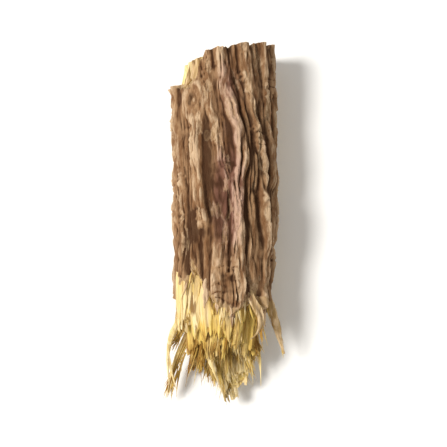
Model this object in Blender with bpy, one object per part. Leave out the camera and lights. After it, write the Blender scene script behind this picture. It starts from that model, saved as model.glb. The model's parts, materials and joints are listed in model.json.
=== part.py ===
"""Licorice root: one cut and split length of the dried root, lying on a split face.

The length lies along Y, with its torn end at -Y and its cut end at +Y, and it
rests at z = 0 on a split face. The upper side keeps its wrinkled bark, and the
flanks and the underside are bare wood. It grew as one piece, so it is one
solid, with its torn splinters sunk well into it.

Every length below is in millimetres. An angle goes round the root's axis, in
degrees from straight up, and is positive towards +X.
"""

import bmesh
import bpy
import numpy as np

MM = 0.001
NAME = "licorice_root"

# Size of the length and of the root that it was split from
CUT_END = 15.6
BARK_STOP = -8.0
WOOD_STOP = -10.9
RADIUS_AT_CUT = 4.75
RADIUS_AT_BARK_STOP = 4.25
OVAL = 0.12
OVAL_LONG_ANGLE = 70.0
AXIS_HEIGHT = 2.4
AXIS_BOW = 0.3
AXIS_BOW_CREST_Y = 4.0
AXIS_BOW_SPAN = 26.0

# The two ends: the cut slants, and the tear is jagged
CUT_SLANT_X = 0.22
CUT_SLANT_Z = -0.10
CUT_SLANT_RUN = 4.0
TEAR_JAG = 0.6
TEAR_JAG_RUN = 2.5

# Bare wood: grooves along the grain, drawn in towards the tear
WOOD_GROOVE = 0.12
WOOD_GROOVES_ROUND = 9.0
WOOD_TAPER = 0.45

# Split faces: the angle that each one faces, its distance from the axis, its waves
UNDERSIDE_FACES = 180.0
RIGHT_FLANK_FACES = 128.8
RIGHT_FLANK_DISTANCE = 3.22
LEFT_FLANK_FACES = 217.9
LEFT_FLANK_DISTANCE = 3.49
FLANK_WAVE = 0.22
FLANK_WAVE_LENGTH = 19.0
FLANK_GROOVE = 0.14
FLANK_GROOVES_ROUND = 23.0
FLANK_PINCH = 0.5

# Bark: how thick, how deep its furrows sink, and its ragged ends as (angle, y) points
BARK_THICKNESS = 0.9
FURROW_SINK = 0.2
BARK_NEAR_EDGE = (
    (-120.0, -6.6), (-74.0, -7.4), (-60.0, -6.2), (-44.0, -5.2), (-28.0, -6.6), (-12.0, -7.8),
    (0.0, -9.0), (26.0, -8.8), (44.0, -7.5), (60.0, -8.7), (90.0, -7.0),
)
BARK_FAR_EDGE = (
    (-120.0, 13.4), (-78.0, 12.4), (-48.0, 11.8), (-31.0, 12.5), (-20.0, 15.0), (-12.0, 18.0),
)
BARK_EDGE_RAMP = 0.6
CHIP_DROP = 0.45
CHIP_RUN = 3.5

# Bark ridges: height, half width, and the (y, angle) points that the crest follows
RIDGES = (
    (0.30, 0.70, ((16.5, -97.0), (10.0, -95.0), (4.0, -88.0), (-2.0, -80.0), (-9.0, -84.0))),
    (0.38, 0.75, ((16.5, -76.0), (10.0, -76.0), (5.0, -65.0), (0.0, -58.0), (-9.0, -61.0))),
    (0.55, 0.80, ((8.4, -38.0), (4.0, -36.0), (0.8, -33.0), (-0.8, -27.0))),
    (0.24, 0.75, ((-2.6, -40.0), (-6.5, -37.0))),
    (0.34, 0.60, ((16.5, -19.0), (12.0, -20.0), (9.5, -20.0), (8.0, -13.0), (4.7, -6.0), (2.2, 4.0))),
    (0.55, 0.72, ((16.5, -4.0), (11.6, 0.0), (9.3, 8.0), (6.8, 17.0), (4.7, 20.0), (2.3, 13.0),
                  (0.0, 14.0), (-3.0, 18.0), (-9.5, 25.0))),
    (0.42, 0.62, ((-3.4, -9.0), (-9.5, -7.0))),
    (0.50, 0.66, ((16.5, 23.0), (13.9, 26.0), (9.8, 33.0), (7.3, 40.0), (4.2, 50.0), (0.1, 51.0),
                  (-3.0, 60.0), (-9.5, 59.0))),
    (0.40, 0.66, ((16.5, 49.0), (13.9, 53.0), (9.8, 57.0), (6.0, 65.0), (3.5, 70.0))),
    (0.20, 0.60, ((5.0, 33.0), (1.0, 33.0), (-3.0, 38.0), (-6.0, 41.0))),
    (0.36, 0.74, ((16.5, 74.0), (10.0, 75.0), (5.0, 82.0), (0.0, 76.0), (-9.0, 80.0))),
)
RIDGE_FADE = 1.3
RIDGE_BLEND = 4.0

# The scar of a side root: a raised oval rim, which the ridges bend round
SCAR_ANGLE = -37.0
SCAR_Y = 10.4
SCAR_HALF_WIDTH = 1.25
SCAR_HALF_LENGTH = 1.75
SCAR_RIM = 0.42
SCAR_RIM_AT = 0.8
SCAR_RIM_WIDTH = 0.42
SCAR_PUSH = 0.55

# Splinters: x, y and z of the sunk root, x, y and z of the tip, width, thickness
BLOCKS = (
    (-0.9, -7.5, 3.9, -0.7, -11.7, 3.9, 3.3, 1.8),
    (0.1, -7.5, 2.6, 1.1, -14.9, 2.1, 3.6, 1.9),
    (-2.1, -7.5, 1.9, -2.7, -12.9, 1.3, 1.5, 1.2),
    (-0.8, -7.5, 1.4, -0.9, -13.6, 1.0, 1.8, 1.2),
    (2.5, -7.0, 3.2, 2.8, -12.2, 3.0, 1.5, 1.4),
    (-2.8, -5.0, 4.0, -3.1, -9.5, 4.0, 2.4, 1.4),
    (0.8, -6.5, 4.6, 1.0, -11.4, 4.6, 1.7, 1.0),
)
STRAYS = (
    (-1.9, -8.0, 2.6, -5.0, -15.6, 1.3, 0.9, 0.75),
    (-3.0, -6.0, 2.9, -4.4, -11.3, 2.7, 1.0, 0.8),
    (3.1, -4.5, 2.8, 5.4, -12.2, 2.3, 1.1, 0.8),
    (2.7, -6.0, 4.7, 3.4, -11.7, 5.0, 1.4, 0.75),
)
SPLINTER_SIDES = 5
SPLINTER_STATIONS = 5
SPLINTER_BEND = 0.09
SPLINTER_TWIST = 0.5
SPLINTER_UNEVEN = 0.22
SPLINTER_CHISEL = 0.45
SPLINTER_LOWEST = 0.12
SLIM_WIDTH = 0.9
BLUNT_WIDTH = 1.7

# Small splinters, spread over the tear along a spiral
THIN_COUNT = 14
THIN_SEED = 7
THIN_WIDTH = 0.75
THIN_REACH = (1.2, 3.6)
THIN_LEAN = 0.12
THIN_SUNK = 2.6
THIN_SPREAD = 2.7
THIN_CENTRE_Z = 2.65
THIN_LOWEST = 0.6
SPIRAL_TURN = 2.4

# Mesh: where its angles change spacing, and points over the bark, on each flank,
# under the piece and along it
BARK_FROM = -101.0
BARK_TO = 84.0
UNDER_FROM = 137.5
UNDER_TO = 227.3
OVER_BARK = 58
ON_FLANK = 8
UNDER = 6
ALONG = 42
CAP_RINGS = (0.86, 0.55, 0.25)


def smooth(low, high, value):
    """Rise from 0 at low to 1 at high, level at both ends."""
    share = np.clip((value - low) / (high - low), 0.0, 1.0)
    return share * share * (3.0 - 2.0 * share)


def follow(points, place):
    """Value at a place along a chain of (place, value) points, eased between them."""
    places, values = np.array(sorted(points)).T
    index = np.clip(np.searchsorted(places, place) - 1, 0, len(places) - 2)
    share = smooth(places[index], places[index + 1], place)
    return values[index] + share * (values[index + 1] - values[index])


def root_radius(angle, y):
    """Radius of the root's mean surface: tapered, and a little oval."""
    taper = (y - BARK_STOP) / (CUT_END - BARK_STOP)
    mean = RADIUS_AT_BARK_STOP + (RADIUS_AT_CUT - RADIUS_AT_BARK_STOP) * taper
    return mean + OVAL * np.cos(2.0 * np.radians(angle - OVAL_LONG_ANGLE))


def axis_x(y):
    """Sideways place of the root's axis, which bows a little along its length."""
    return AXIS_BOW * (np.cos(np.pi * (y - AXIS_BOW_CREST_Y) / AXIS_BOW_SPAN) - 0.5)


def bark_cover(angle, y):
    """Share of the bark that is left: 1 on the bark, 0 past its ragged ends."""
    near = follow(BARK_NEAR_EDGE, angle)
    far = follow(BARK_FAR_EDGE, angle)
    half = BARK_EDGE_RAMP / 2.0
    starts = smooth(near - half, near + half, y)
    stops = smooth(far - half, far + half, y)
    return starts * (1.0 - stops)


def bark_relief(angle, y):
    """Height of the ridges and of the scar above the furrows.

    A ridge is a rounded lobe across its crest line. Overlapping lobes blend by
    a power mean, and crest lines bend aside where they pass the scar.
    """
    radius = root_radius(angle, y)
    across = np.radians(angle - SCAR_ANGLE) * radius / SCAR_HALF_WIDTH
    from_scar = np.hypot(across, (y - SCAR_Y) / SCAR_HALF_LENGTH)
    at_scar = np.exp(-from_scar**2)
    bent = SCAR_ANGLE + (angle - SCAR_ANGLE) * (1.0 - SCAR_PUSH * at_scar)
    total = 0.0
    for height, half_width, track in RIDGES:
        first = min(track)[0]
        last = max(track)[0]
        fade = smooth(first - RIDGE_FADE, first, y) * (1.0 - smooth(last, last + RIDGE_FADE, y))
        offset = np.radians(bent - follow(track, y)) * radius / half_width
        lobe = height * fade * np.clip(1.0 - offset**2, 0.0, 1.0)
        total = total + lobe**RIDGE_BLEND
    ridges = total ** (1.0 / RIDGE_BLEND)
    rim = SCAR_RIM * np.exp(-(((from_scar - SCAR_RIM_AT) / SCAR_RIM_WIDTH) ** 2))
    return ridges * (1.0 - at_scar) + rim


def wood_loss(angle, y):
    """Depth lost from the bare wood: grooves, the pull-in at the tear, and the chip."""
    grooves = 0.5 + 0.5 * np.sin(np.radians(angle) * WOOD_GROOVES_ROUND + np.sin(y * 0.5))
    at_tear = 1.0 - smooth(WOOD_STOP, BARK_STOP, y)
    at_chip = smooth(CUT_END - CHIP_RUN, CUT_END, y)
    return WOOD_GROOVE * grooves + WOOD_TAPER * at_tear + CHIP_DROP * at_chip


def split_face(angle, faces, distance):
    """Distance from the axis to a split face, along each angle."""
    slope = np.cos(np.radians(angle - faces))
    return np.where(slope > 0.05, distance / np.maximum(slope, 0.05), np.inf)


def section_radius(angle, y):
    """Distance from the axis to the surface: the root's round, cut by the splits."""
    mean = root_radius(angle, y)
    bare = mean - BARK_THICKNESS - wood_loss(angle, y)
    barked = mean - FURROW_SINK + bark_relief(angle, y)
    radius = bare + bark_cover(angle, y) * (barked - bare)
    wave = FLANK_WAVE * np.sin(2.0 * np.pi * y / FLANK_WAVE_LENGTH + 1.0)
    groove = FLANK_GROOVE * np.cos(np.radians(angle) * FLANK_GROOVES_ROUND + np.sin(y * 0.33))
    pinch = FLANK_PINCH * (1.0 - smooth(WOOD_STOP, BARK_STOP, y))
    right = RIGHT_FLANK_DISTANCE + wave + groove - pinch
    left = LEFT_FLANK_DISTANCE - wave + groove - pinch
    radius = np.minimum(radius, split_face(angle, RIGHT_FLANK_FACES, right))
    radius = np.minimum(radius, split_face(angle, LEFT_FLANK_FACES, left))
    radius = np.minimum(radius, split_face(angle, LEFT_FLANK_FACES - 360.0, left))
    return np.minimum(radius, split_face(angle, UNDERSIDE_FACES, AXIS_HEIGHT))


def tear_jag(x, z):
    """How far the torn wood steps in and out, over the end of the wood."""
    coarse = np.sin(2.1 * x + 0.7) * np.cos(1.7 * z)
    fine = np.sin(3.9 * z + 1.2 * x)
    return TEAR_JAG * (coarse + 0.6 * fine)


def body_points(angle, y, inward):
    """Points of the surface, drawn towards the axis by inward: 1 on it, 0 at the axis."""
    reach = section_radius(angle, y) * inward
    x = axis_x(y) + reach * np.sin(np.radians(angle))
    z = np.maximum(AXIS_HEIGHT + reach * np.cos(np.radians(angle)), 0.0)
    at_cut = smooth(CUT_END - CUT_SLANT_RUN, CUT_END, y)
    slant = CUT_SLANT_X * x + CUT_SLANT_Z * (z - AXIS_HEIGHT)
    at_tear = 1.0 - smooth(WOOD_STOP, WOOD_STOP + TEAR_JAG_RUN, y)
    return np.stack([x, y + at_cut * slant + at_tear * tear_jag(x, z), z], axis=-1)


def sample_angles():
    """Angles round the section, set closer together over the bark."""
    over = np.linspace(BARK_FROM, BARK_TO, OVER_BARK, endpoint=False)
    right = np.linspace(BARK_TO, UNDER_FROM, ON_FLANK, endpoint=False)
    under = np.linspace(UNDER_FROM, UNDER_TO, UNDER, endpoint=False)
    left = np.linspace(UNDER_TO, BARK_FROM + 360.0, ON_FLANK, endpoint=False)
    return np.concatenate([over, right, under, left])


def root_body():
    """The barked wood: sections lofted along Y, closed by rings at both ends."""
    angles = sample_angles()
    stations = np.linspace(WOOD_STOP, CUT_END, ALONG)
    rings = [(WOOD_STOP, inward) for inward in reversed(CAP_RINGS)]
    rings += [(y, 1.0) for y in stations]
    rings += [(CUT_END, inward) for inward in CAP_RINGS]
    loops = [body_points(angles, np.full(angles.shape, y), inward) for y, inward in rings]
    return loft(NAME, np.array(loops) * MM)


def loft(name, loops):
    """A closed object through loops of points, each end closed by a fan to its middle."""
    count, sides = loops.shape[:2]
    centres = loops[[0, -1]].mean(axis=1)
    points = np.concatenate([loops.reshape(-1, 3), centres])
    ring = np.arange(sides)
    ahead = (ring + 1) % sides
    faces = []
    for low in range(0, (count - 1) * sides, sides):
        high = low + sides
        faces += np.stack([low + ring, low + ahead, high + ahead, high + ring], axis=1).tolist()
    first = np.full(sides, count * sides)
    top = (count - 1) * sides
    faces += np.stack([ahead, ring, first], axis=1).tolist()
    faces += np.stack([top + ring, top + ahead, first + 1], axis=1).tolist()
    mesh = bpy.data.meshes.new(name)
    mesh.from_pydata(points.tolist(), [], faces)
    return bpy.data.objects.new(name, mesh)


def splinter(name, root, tip, width, thickness, rng):
    """A wedge of torn wood, bent a little: thin ones are pointed, wide ones blunt."""
    along = np.linspace(1.0, 0.0, SPLINTER_STATIONS)[:, None]
    length = np.linalg.norm(np.subtract(tip, root))
    bend_x, bend_z = rng.uniform(-SPLINTER_BEND, SPLINTER_BEND, 2) * length * [1.0, 0.5]
    centre = np.array(root) + np.subtract(tip, root) * along
    arch = np.sin(np.pi * along)
    turn = np.linspace(0.0, 2.0 * np.pi, SPLINTER_SIDES, endpoint=False)
    turn = turn + rng.uniform(0.0, 2.0) + along * rng.uniform(-SPLINTER_TWIST, SPLINTER_TWIST)
    uneven = 1.0 + rng.uniform(-SPLINTER_UNEVEN, SPLINTER_UNEVEN, SPLINTER_SIDES)
    chisel = rng.uniform(-1.5, 1.5)
    blunt = smooth(SLIM_WIDTH, BLUNT_WIDTH, width)
    narrowed = 1.0 - (0.75 - 0.45 * blunt) * along**2
    thinned = 1.0 - (0.70 - 0.20 * blunt) * along**1.5
    x = centre[:, 0:1] + bend_x * arch + 0.5 * width * narrowed * uneven * np.sin(turn)
    y = centre[:, 1:2] + SPLINTER_CHISEL * width * along**2 * np.sin(turn + chisel)
    z = centre[:, 2:3] + bend_z * arch + 0.5 * thickness * thinned * uneven * np.cos(turn)
    return loft(name, np.stack([x, y, np.maximum(z, SPLINTER_LOWEST)], axis=-1) * MM)


def thin_splinters(rng):
    """Places and sizes of the small splinters, as rows like the ones listed above."""
    rows = []
    for index in range(THIN_COUNT):
        out = THIN_SPREAD * np.sqrt((index + 0.5) / THIN_COUNT)
        turn = index * SPIRAL_TURN + 0.6
        x = out * np.sin(turn)
        z = max(THIN_CENTRE_Z + 0.8 * out * np.cos(turn), THIN_LOWEST)
        reach = rng.uniform(*THIN_REACH)
        lean_x, lean_z = rng.uniform(-THIN_LEAN, THIN_LEAN, 2) * reach
        tip = (x + lean_x, WOOD_STOP - reach, max(z + lean_z, THIN_LOWEST))
        width = THIN_WIDTH * rng.uniform(0.9, 1.3)
        rows.append((x, WOOD_STOP + THIN_SUNK, z, *tip, width, THIN_WIDTH))
    return rows


def torn_splinters(collection):
    """Every splinter of the torn end, linked into a collection."""
    rng = np.random.default_rng(THIN_SEED)
    for number, row in enumerate(list(BLOCKS) + list(STRAYS) + thin_splinters(rng)):
        piece = splinter(f"splinter_{number:02d}", row[0:3], row[3:6], row[6], row[7], rng)
        collection.objects.link(piece)


def keep_outer_skin(mesh):
    """Keep the largest connected surface: hollows sealed by the union are filled."""
    work = bmesh.new()
    work.from_mesh(mesh)
    waiting = set(work.verts)
    skins = []
    while waiting:
        skin = {waiting.pop()}
        front = list(skin)
        while front:
            point = front.pop()
            fresh = {edge.other_vert(point) for edge in point.link_edges} - skin
            skin |= fresh
            front += fresh
        waiting -= skin
        skins.append(skin)
    outer = max(skins, key=len)
    inner = [point for skin in skins if skin is not outer for point in skin]
    bmesh.ops.delete(work, geom=inner, context="VERTS")
    work.to_mesh(mesh)
    work.free()


def fuse(body, collection):
    """Join a collection's solids to the body in one union, and remove them."""
    union = body.modifiers.new("union", "BOOLEAN")
    union.operation = "UNION"
    union.operand_type = "COLLECTION"
    union.collection = collection
    union.solver = "EXACT"
    bpy.context.view_layer.update()
    evaluated = body.evaluated_get(bpy.context.evaluated_depsgraph_get())
    joined = bpy.data.meshes.new_from_object(evaluated)
    body.modifiers.remove(union)
    body.data = joined
    keep_outer_skin(joined)
    for piece in list(collection.objects):
        bpy.data.objects.remove(piece, do_unlink=True)
    bpy.data.collections.remove(collection)


def bark_material():
    """Brown bark, which covers most of what shows."""
    material = bpy.data.materials.new("licorice_bark")
    material.use_nodes = True
    shader = material.node_tree.nodes["Principled BSDF"]
    shader.inputs["Base Color"].default_value = (0.235, 0.130, 0.070, 1.0)
    shader.inputs["Roughness"].default_value = 0.85
    shader.inputs["Metallic"].default_value = 0.0
    return material


def main():
    for old in list(bpy.data.objects):
        bpy.data.objects.remove(old, do_unlink=True)
    parts = bpy.data.collections.new(NAME)
    torn = bpy.data.collections.new("torn_wood")
    bpy.context.scene.collection.children.link(parts)
    bpy.context.scene.collection.children.link(torn)
    body = root_body()
    parts.objects.link(body)
    torn_splinters(torn)
    fuse(body, torn)
    body.data.materials.clear()
    body.data.materials.append(bark_material())
    body.data.shade_smooth()


main()
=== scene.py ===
# %% [markdown]
# # Licorice root: a cut and split length, made to look real
#
# The solid model already holds the shape: a 33 mm length of dried root, with
# wrinkled bark over its top and bare wood where it was split and torn. This
# lesson dresses it. The body is worked out again by the same formulas on a much
# finer grid, and everything finer than a printed ridge is added to it: wrinkles
# in the bark, flakes of cork, wood fibres and frayed splinters.
#
# Lengths are in millimetres and become metres only when a mesh is made. Only the
# camera, the lamps and the sheet are placed in metres. An angle goes round the
# root's axis, in degrees from straight up, and is positive towards +X. The root
# lies along Y, with the torn end towards -Y.

# %% Load the frame
import itertools
import json
import math

import bpy
import numpy as np
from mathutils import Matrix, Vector

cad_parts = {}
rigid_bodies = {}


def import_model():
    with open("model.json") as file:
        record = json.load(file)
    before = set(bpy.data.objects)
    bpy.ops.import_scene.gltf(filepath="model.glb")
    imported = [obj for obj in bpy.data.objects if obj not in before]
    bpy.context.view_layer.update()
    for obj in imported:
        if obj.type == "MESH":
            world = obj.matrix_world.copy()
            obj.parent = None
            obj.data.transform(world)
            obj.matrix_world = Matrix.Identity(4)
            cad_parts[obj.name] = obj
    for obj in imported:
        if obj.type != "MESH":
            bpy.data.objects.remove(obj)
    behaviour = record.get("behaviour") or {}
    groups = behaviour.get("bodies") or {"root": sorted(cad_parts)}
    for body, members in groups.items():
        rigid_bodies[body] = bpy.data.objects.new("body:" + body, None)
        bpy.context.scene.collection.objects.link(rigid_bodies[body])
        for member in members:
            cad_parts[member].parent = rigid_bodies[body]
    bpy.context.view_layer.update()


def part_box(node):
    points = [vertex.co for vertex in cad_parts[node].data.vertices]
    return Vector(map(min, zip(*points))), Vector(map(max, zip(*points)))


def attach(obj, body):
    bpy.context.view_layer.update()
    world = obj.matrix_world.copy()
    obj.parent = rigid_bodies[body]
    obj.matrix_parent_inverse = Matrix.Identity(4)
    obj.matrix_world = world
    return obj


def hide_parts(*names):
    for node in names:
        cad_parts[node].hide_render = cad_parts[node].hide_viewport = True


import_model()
NODE = "licorice_root"
MM = 0.001
low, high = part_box(NODE)
print("solid model, mm:", [round((b - a) / MM, 2) for a, b in zip(low, high)])

# %% [markdown]
# ## Numbers that the solid model and this model share
#
# The fine surface has to lie where the solid one does, so both scripts hold the
# same driving sizes: the taper of the root, the flat faces that the splits left,
# the crest lines of the big ridges, the scar and the list of splinters. Only the
# far edge of the bark is drawn anew, so that the chip at the cut end is smaller.

# %% Driving sizes of the root
CUT_END = 15.6
BARK_STOP = -8.0
WOOD_STOP = -10.9
RADIUS_AT_CUT = 4.75
RADIUS_AT_BARK_STOP = 4.25
OVAL = 0.12
OVAL_LONG_ANGLE = 70.0
AXIS_HEIGHT = 2.4
AXIS_BOW = 0.3
AXIS_BOW_CREST_Y = 4.0
AXIS_BOW_SPAN = 26.0
CUT_SLANT_X = 0.22
CUT_SLANT_Z = -0.10
CUT_SLANT_RUN = 4.0
TEAR_JAG = 0.6
TEAR_JAG_RUN = 2.5
WOOD_TAPER = 0.45
UNDERSIDE_FACES = 180.0
RIGHT_FLANK_FACES = 128.8
RIGHT_FLANK_DISTANCE = 3.22
LEFT_FLANK_FACES = 217.9
LEFT_FLANK_DISTANCE = 3.49
FLANK_WAVE = 0.22
FLANK_WAVE_LENGTH = 19.0
FLANK_PINCH = 0.5
BARK_THICKNESS = 0.9
CORK_THICKNESS = 0.14
FURROW_SINK = 0.2
CHIP_DROP = 0.45
CHIP_RUN = 3.5
print("root radius, mm:", RADIUS_AT_CUT, "to", RADIUS_AT_BARK_STOP)

# %% Where the bark ends, and how its big ridges run
BARK_NEAR_EDGE = (
    (-120.0, -6.6), (-74.0, -7.4), (-60.0, -6.2), (-44.0, -5.2), (-28.0, -6.6), (-12.0, -7.8),
    (0.0, -9.0), (26.0, -8.8), (44.0, -7.5), (60.0, -8.7), (90.0, -7.0),
)
BARK_FAR_EDGE = (
    (-120.0, 13.4), (-78.0, 12.6), (-48.0, 12.2), (-36.0, 12.9), (-25.0, 15.2), (-16.0, 18.0),
)
# Each ridge: height, half width, and the (y, angle) points that its crest follows
RIDGES = (
    (0.30, 0.70, ((16.5, -97.0), (10.0, -95.0), (4.0, -88.0), (-2.0, -80.0), (-9.0, -84.0))),
    (0.38, 0.75, ((16.5, -76.0), (10.0, -76.0), (5.0, -65.0), (0.0, -58.0), (-9.0, -61.0))),
    (0.55, 0.80, ((8.4, -38.0), (4.0, -36.0), (0.8, -33.0), (-0.8, -27.0))),
    (0.24, 0.75, ((-2.6, -40.0), (-6.5, -37.0))),
    (0.34, 0.60, ((16.5, -19.0), (12.0, -20.0), (9.5, -20.0), (8.0, -13.0), (4.7, -6.0),
                  (2.2, 4.0))),
    (0.55, 0.72, ((16.5, -4.0), (11.6, 0.0), (9.3, 8.0), (6.8, 17.0), (4.7, 20.0), (2.3, 13.0),
                  (0.0, 14.0), (-3.0, 18.0), (-9.5, 25.0))),
    (0.42, 0.62, ((-3.4, -9.0), (-9.5, -7.0))),
    (0.50, 0.66, ((16.5, 23.0), (13.9, 26.0), (9.8, 33.0), (7.3, 40.0), (4.2, 50.0), (0.1, 51.0),
                  (-3.0, 60.0), (-9.5, 59.0))),
    (0.40, 0.66, ((16.5, 49.0), (13.9, 53.0), (9.8, 57.0), (6.0, 65.0), (3.5, 70.0))),
    (0.20, 0.60, ((5.0, 33.0), (1.0, 33.0), (-3.0, 38.0), (-6.0, 41.0))),
    (0.36, 0.74, ((16.5, 74.0), (10.0, 75.0), (5.0, 82.0), (0.0, 76.0), (-9.0, 80.0))),
)
RIDGE_FADE = 1.3
RIDGE_BLEND = 4.0
SCAR_ANGLE = -37.0
SCAR_Y = 10.4
SCAR_HALF_WIDTH = 1.25
SCAR_HALF_LENGTH = 1.75
SCAR_RIM = 0.42
SCAR_RIM_AT = 0.8
SCAR_RIM_WIDTH = 0.42
SCAR_PUSH = 0.55
print("big ridges:", len(RIDGES))

# %% Splinters: root x, y and z, tip x, y and z, width, thickness
BLOCKS = (
    (-0.9, -7.5, 3.9, -0.7, -11.7, 3.9, 3.3, 1.8),
    (0.1, -7.5, 2.6, 1.1, -14.9, 2.1, 3.6, 1.9),
    (-2.1, -7.5, 1.9, -2.7, -12.9, 1.3, 1.5, 1.2),
    (-0.8, -7.5, 1.4, -0.9, -13.6, 1.0, 1.8, 1.2),
    (2.5, -7.0, 3.2, 2.8, -12.2, 3.0, 1.5, 1.4),
    (-2.8, -5.0, 4.0, -3.1, -9.5, 4.0, 2.4, 1.4),
    (0.8, -6.5, 4.6, 1.0, -11.4, 4.6, 1.7, 1.0),
)
STRAYS = (
    (-1.9, -8.0, 2.6, -5.0, -15.6, 1.3, 0.9, 0.75),
    (-3.0, -6.0, 2.9, -4.4, -11.3, 2.7, 1.0, 0.8),
    (3.1, -4.5, 2.8, 5.4, -12.2, 2.3, 1.1, 0.8),
    (2.7, -6.0, 4.7, 3.4, -11.7, 5.0, 1.4, 0.75),
)
SPLINTER_SIDES = 5
SPLINTER_BEND = 0.09
SPLINTER_TWIST = 0.5
SPLINTER_UNEVEN = 0.22
SPLINTER_CHISEL = 0.45
SLIM_WIDTH = 0.9
BLUNT_WIDTH = 1.7
THIN_COUNT = 14
THIN_SEED = 7
THIN_WIDTH = 0.75
THIN_REACH = (1.2, 3.6)
THIN_LEAN = 0.12
THIN_SUNK = 2.6
THIN_SPREAD = 2.7
THIN_CENTRE_Z = 2.65
THIN_LOWEST = 0.6
SPIRAL_TURN = 2.4
print("splinters:", len(BLOCKS) + len(STRAYS) + THIN_COUNT)

# %% [markdown]
# ## The camera and the light
#
# The picture is taken from high up in front of the torn end, so that the length
# runs up the frame and the whole barked side faces the lens. A long lens keeps
# the two ends alike in scale. The key light is a sun with a wide soft disc at
# the left, so every ridge has a bright flank and a dark furrow. A sun lights
# the sheet evenly out to its edge, which a near lamp would not. A second, weak
# one from the right and a pale room keep the shadows open. The room is shown as
# white as the sheet, so no horizon can be seen, but it gives off less light.

# %% Camera
VIEW_HEIGHT_ANGLE = 74.0
VIEW_DISTANCE = 0.155
VIEW_LENS = 140.0
VIEW_SENSOR = 36.0
VIEW_CENTRE = (0.0, -0.0002, 0.0030)
NEAREST = 0.001
FARTHEST = 20.0


def aim(thing, place, target):
    """Put a camera or a lamp at a place and turn its -Z axis towards the target."""
    thing.location = place
    thing.rotation_euler = (Vector(target) - Vector(place)).to_track_quat("-Z", "Y").to_euler()
    bpy.context.scene.collection.objects.link(thing)
    return thing


def photo_camera():
    """The camera: in front of the torn end, looking down on the bark."""
    data = bpy.data.cameras.new("photo_camera")
    data.lens = VIEW_LENS
    data.sensor_width = VIEW_SENSOR
    data.clip_start = NEAREST
    data.clip_end = FARTHEST
    slope = math.radians(VIEW_HEIGHT_ANGLE)
    x, y, z = VIEW_CENTRE
    place = (x, y - VIEW_DISTANCE * math.cos(slope), z + VIEW_DISTANCE * math.sin(slope))
    return aim(bpy.data.objects.new("photo_camera", data), place, VIEW_CENTRE)


bpy.context.scene.camera = photo_camera()
print("camera height angle:", VIEW_HEIGHT_ANGLE)

# %% Lights
ROOM_LIGHT = 0.44
ROOM_SHOWN = 1.1
ROOM_TINT = (1.0, 0.965, 0.92, 1.0)
WINDOW_TINT = (1.0, 0.985, 0.955)
FILL_TINT = (1.0, 0.985, 0.96)


def soft_sun(name, place, strength, disc, tint):
    """A sun that shines from a place towards the root, with a soft edge of disc degrees."""
    data = bpy.data.lights.new(name, "SUN")
    data.energy = strength
    data.angle = math.radians(disc)
    data.color = tint
    return aim(bpy.data.objects.new(name, data), place, (0.0, 0.0, 0.0))


def pale_room():
    """A world that the camera sees at ROOM_SHOWN, and that lights the root at ROOM_LIGHT."""
    world = bpy.data.worlds.new("pale_room")
    world.use_nodes = True
    nodes = world.node_tree.nodes
    room = nodes["Background"]
    room.inputs["Color"].default_value = ROOM_TINT
    path = nodes.new("ShaderNodeLightPath")
    strength = nodes.new("ShaderNodeMapRange")
    strength.inputs["To Min"].default_value = ROOM_LIGHT
    strength.inputs["To Max"].default_value = ROOM_SHOWN
    world.node_tree.links.new(path.outputs["Is Camera Ray"], strength.inputs["Value"])
    world.node_tree.links.new(strength.outputs["Result"], room.inputs["Strength"])
    return world


bpy.context.scene.world = pale_room()
bpy.context.scene.view_settings.view_transform = "Standard"
soft_sun("window_light", (-0.66, -0.04, 0.80), strength=3.52, disc=20.0, tint=WINDOW_TINT)
soft_sun("side_fill", (0.60, -0.45, 0.66), strength=0.25, disc=60.0, tint=FILL_TINT)
print("lamps:", len(bpy.data.lights))

# %% The sheet that it lies on
FLOOR_SIZE = 6.0
FLOOR_WHITE = (0.93, 0.93, 0.92, 1.0)
FLOOR_ROUGHNESS = 0.9

floor_mesh = bpy.data.meshes.new("pale_sheet")
half = FLOOR_SIZE / 2.0
floor_corners = [(-half, -half, 0), (half, -half, 0), (half, half, 0), (-half, half, 0)]
floor_mesh.from_pydata(floor_corners, [], [(0, 1, 2, 3)])
floor = bpy.data.objects.new("pale_sheet", floor_mesh)
floor_paint = bpy.data.materials.new("pale_sheet")
floor_paint.use_nodes = True
floor_inputs = floor_paint.node_tree.nodes["Principled BSDF"].inputs
floor_inputs["Base Color"].default_value = FLOOR_WHITE
floor_inputs["Roughness"].default_value = FLOOR_ROUGHNESS
floor_mesh.materials.append(floor_paint)
bpy.context.scene.collection.objects.link(floor)
print("floor, m:", FLOOR_SIZE)

# %% [markdown]
# ## Small tools: easing, bell curves, averages and noise
#
# Nature's edges are neither straight nor random. Easing gives a soft step, a
# bell curve gives a soft spot, and averages take the corners off a row of
# values. The noise gives a value for every point in space that changes smoothly
# from one lattice cell to the next. Stretching its input along Y turns round
# blobs into long streaks, which is all that wood grain and bark wrinkles are.
# Blender has such noise too, but here it is asked for whole arrays at once.


# %% Easing, bell curves and averages
def smooth(low, high, value):
    """Rise from 0 at low to 1 at high, level at both ends."""
    share = np.clip((value - low) / (high - low), 0.0, 1.0)
    return share * share * (3.0 - 2.0 * share)


def span(low, full, falling, end, value):
    """Rise from 0 at low to 1 at full, stay there, and fall from falling to 0 at end."""
    return smooth(low, full, value) * (1.0 - smooth(falling, end, value))


def bell(away, width=1.0, power=2):
    """A bell curve: exp of minus (away / width) to the power. At power 4 its top is flat."""
    return np.exp(-((away / width) ** power))


def follow(points, place):
    """Value at a place along a chain of (place, value) points, eased between them."""
    places, values = np.array(sorted(points)).T
    index = np.clip(np.searchsorted(places, place) - 1, 0, len(places) - 2)
    share = smooth(places[index], places[index + 1], place)
    return values[index] + share * (values[index + 1] - values[index])


def even_out(rows):
    """Rows of values, each averaged with the row before it and the row after it."""
    padded = np.concatenate([rows[:1], rows, rows[-1:]])
    return 0.5 * rows + 0.25 * (padded[:-2] + padded[2:])


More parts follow.
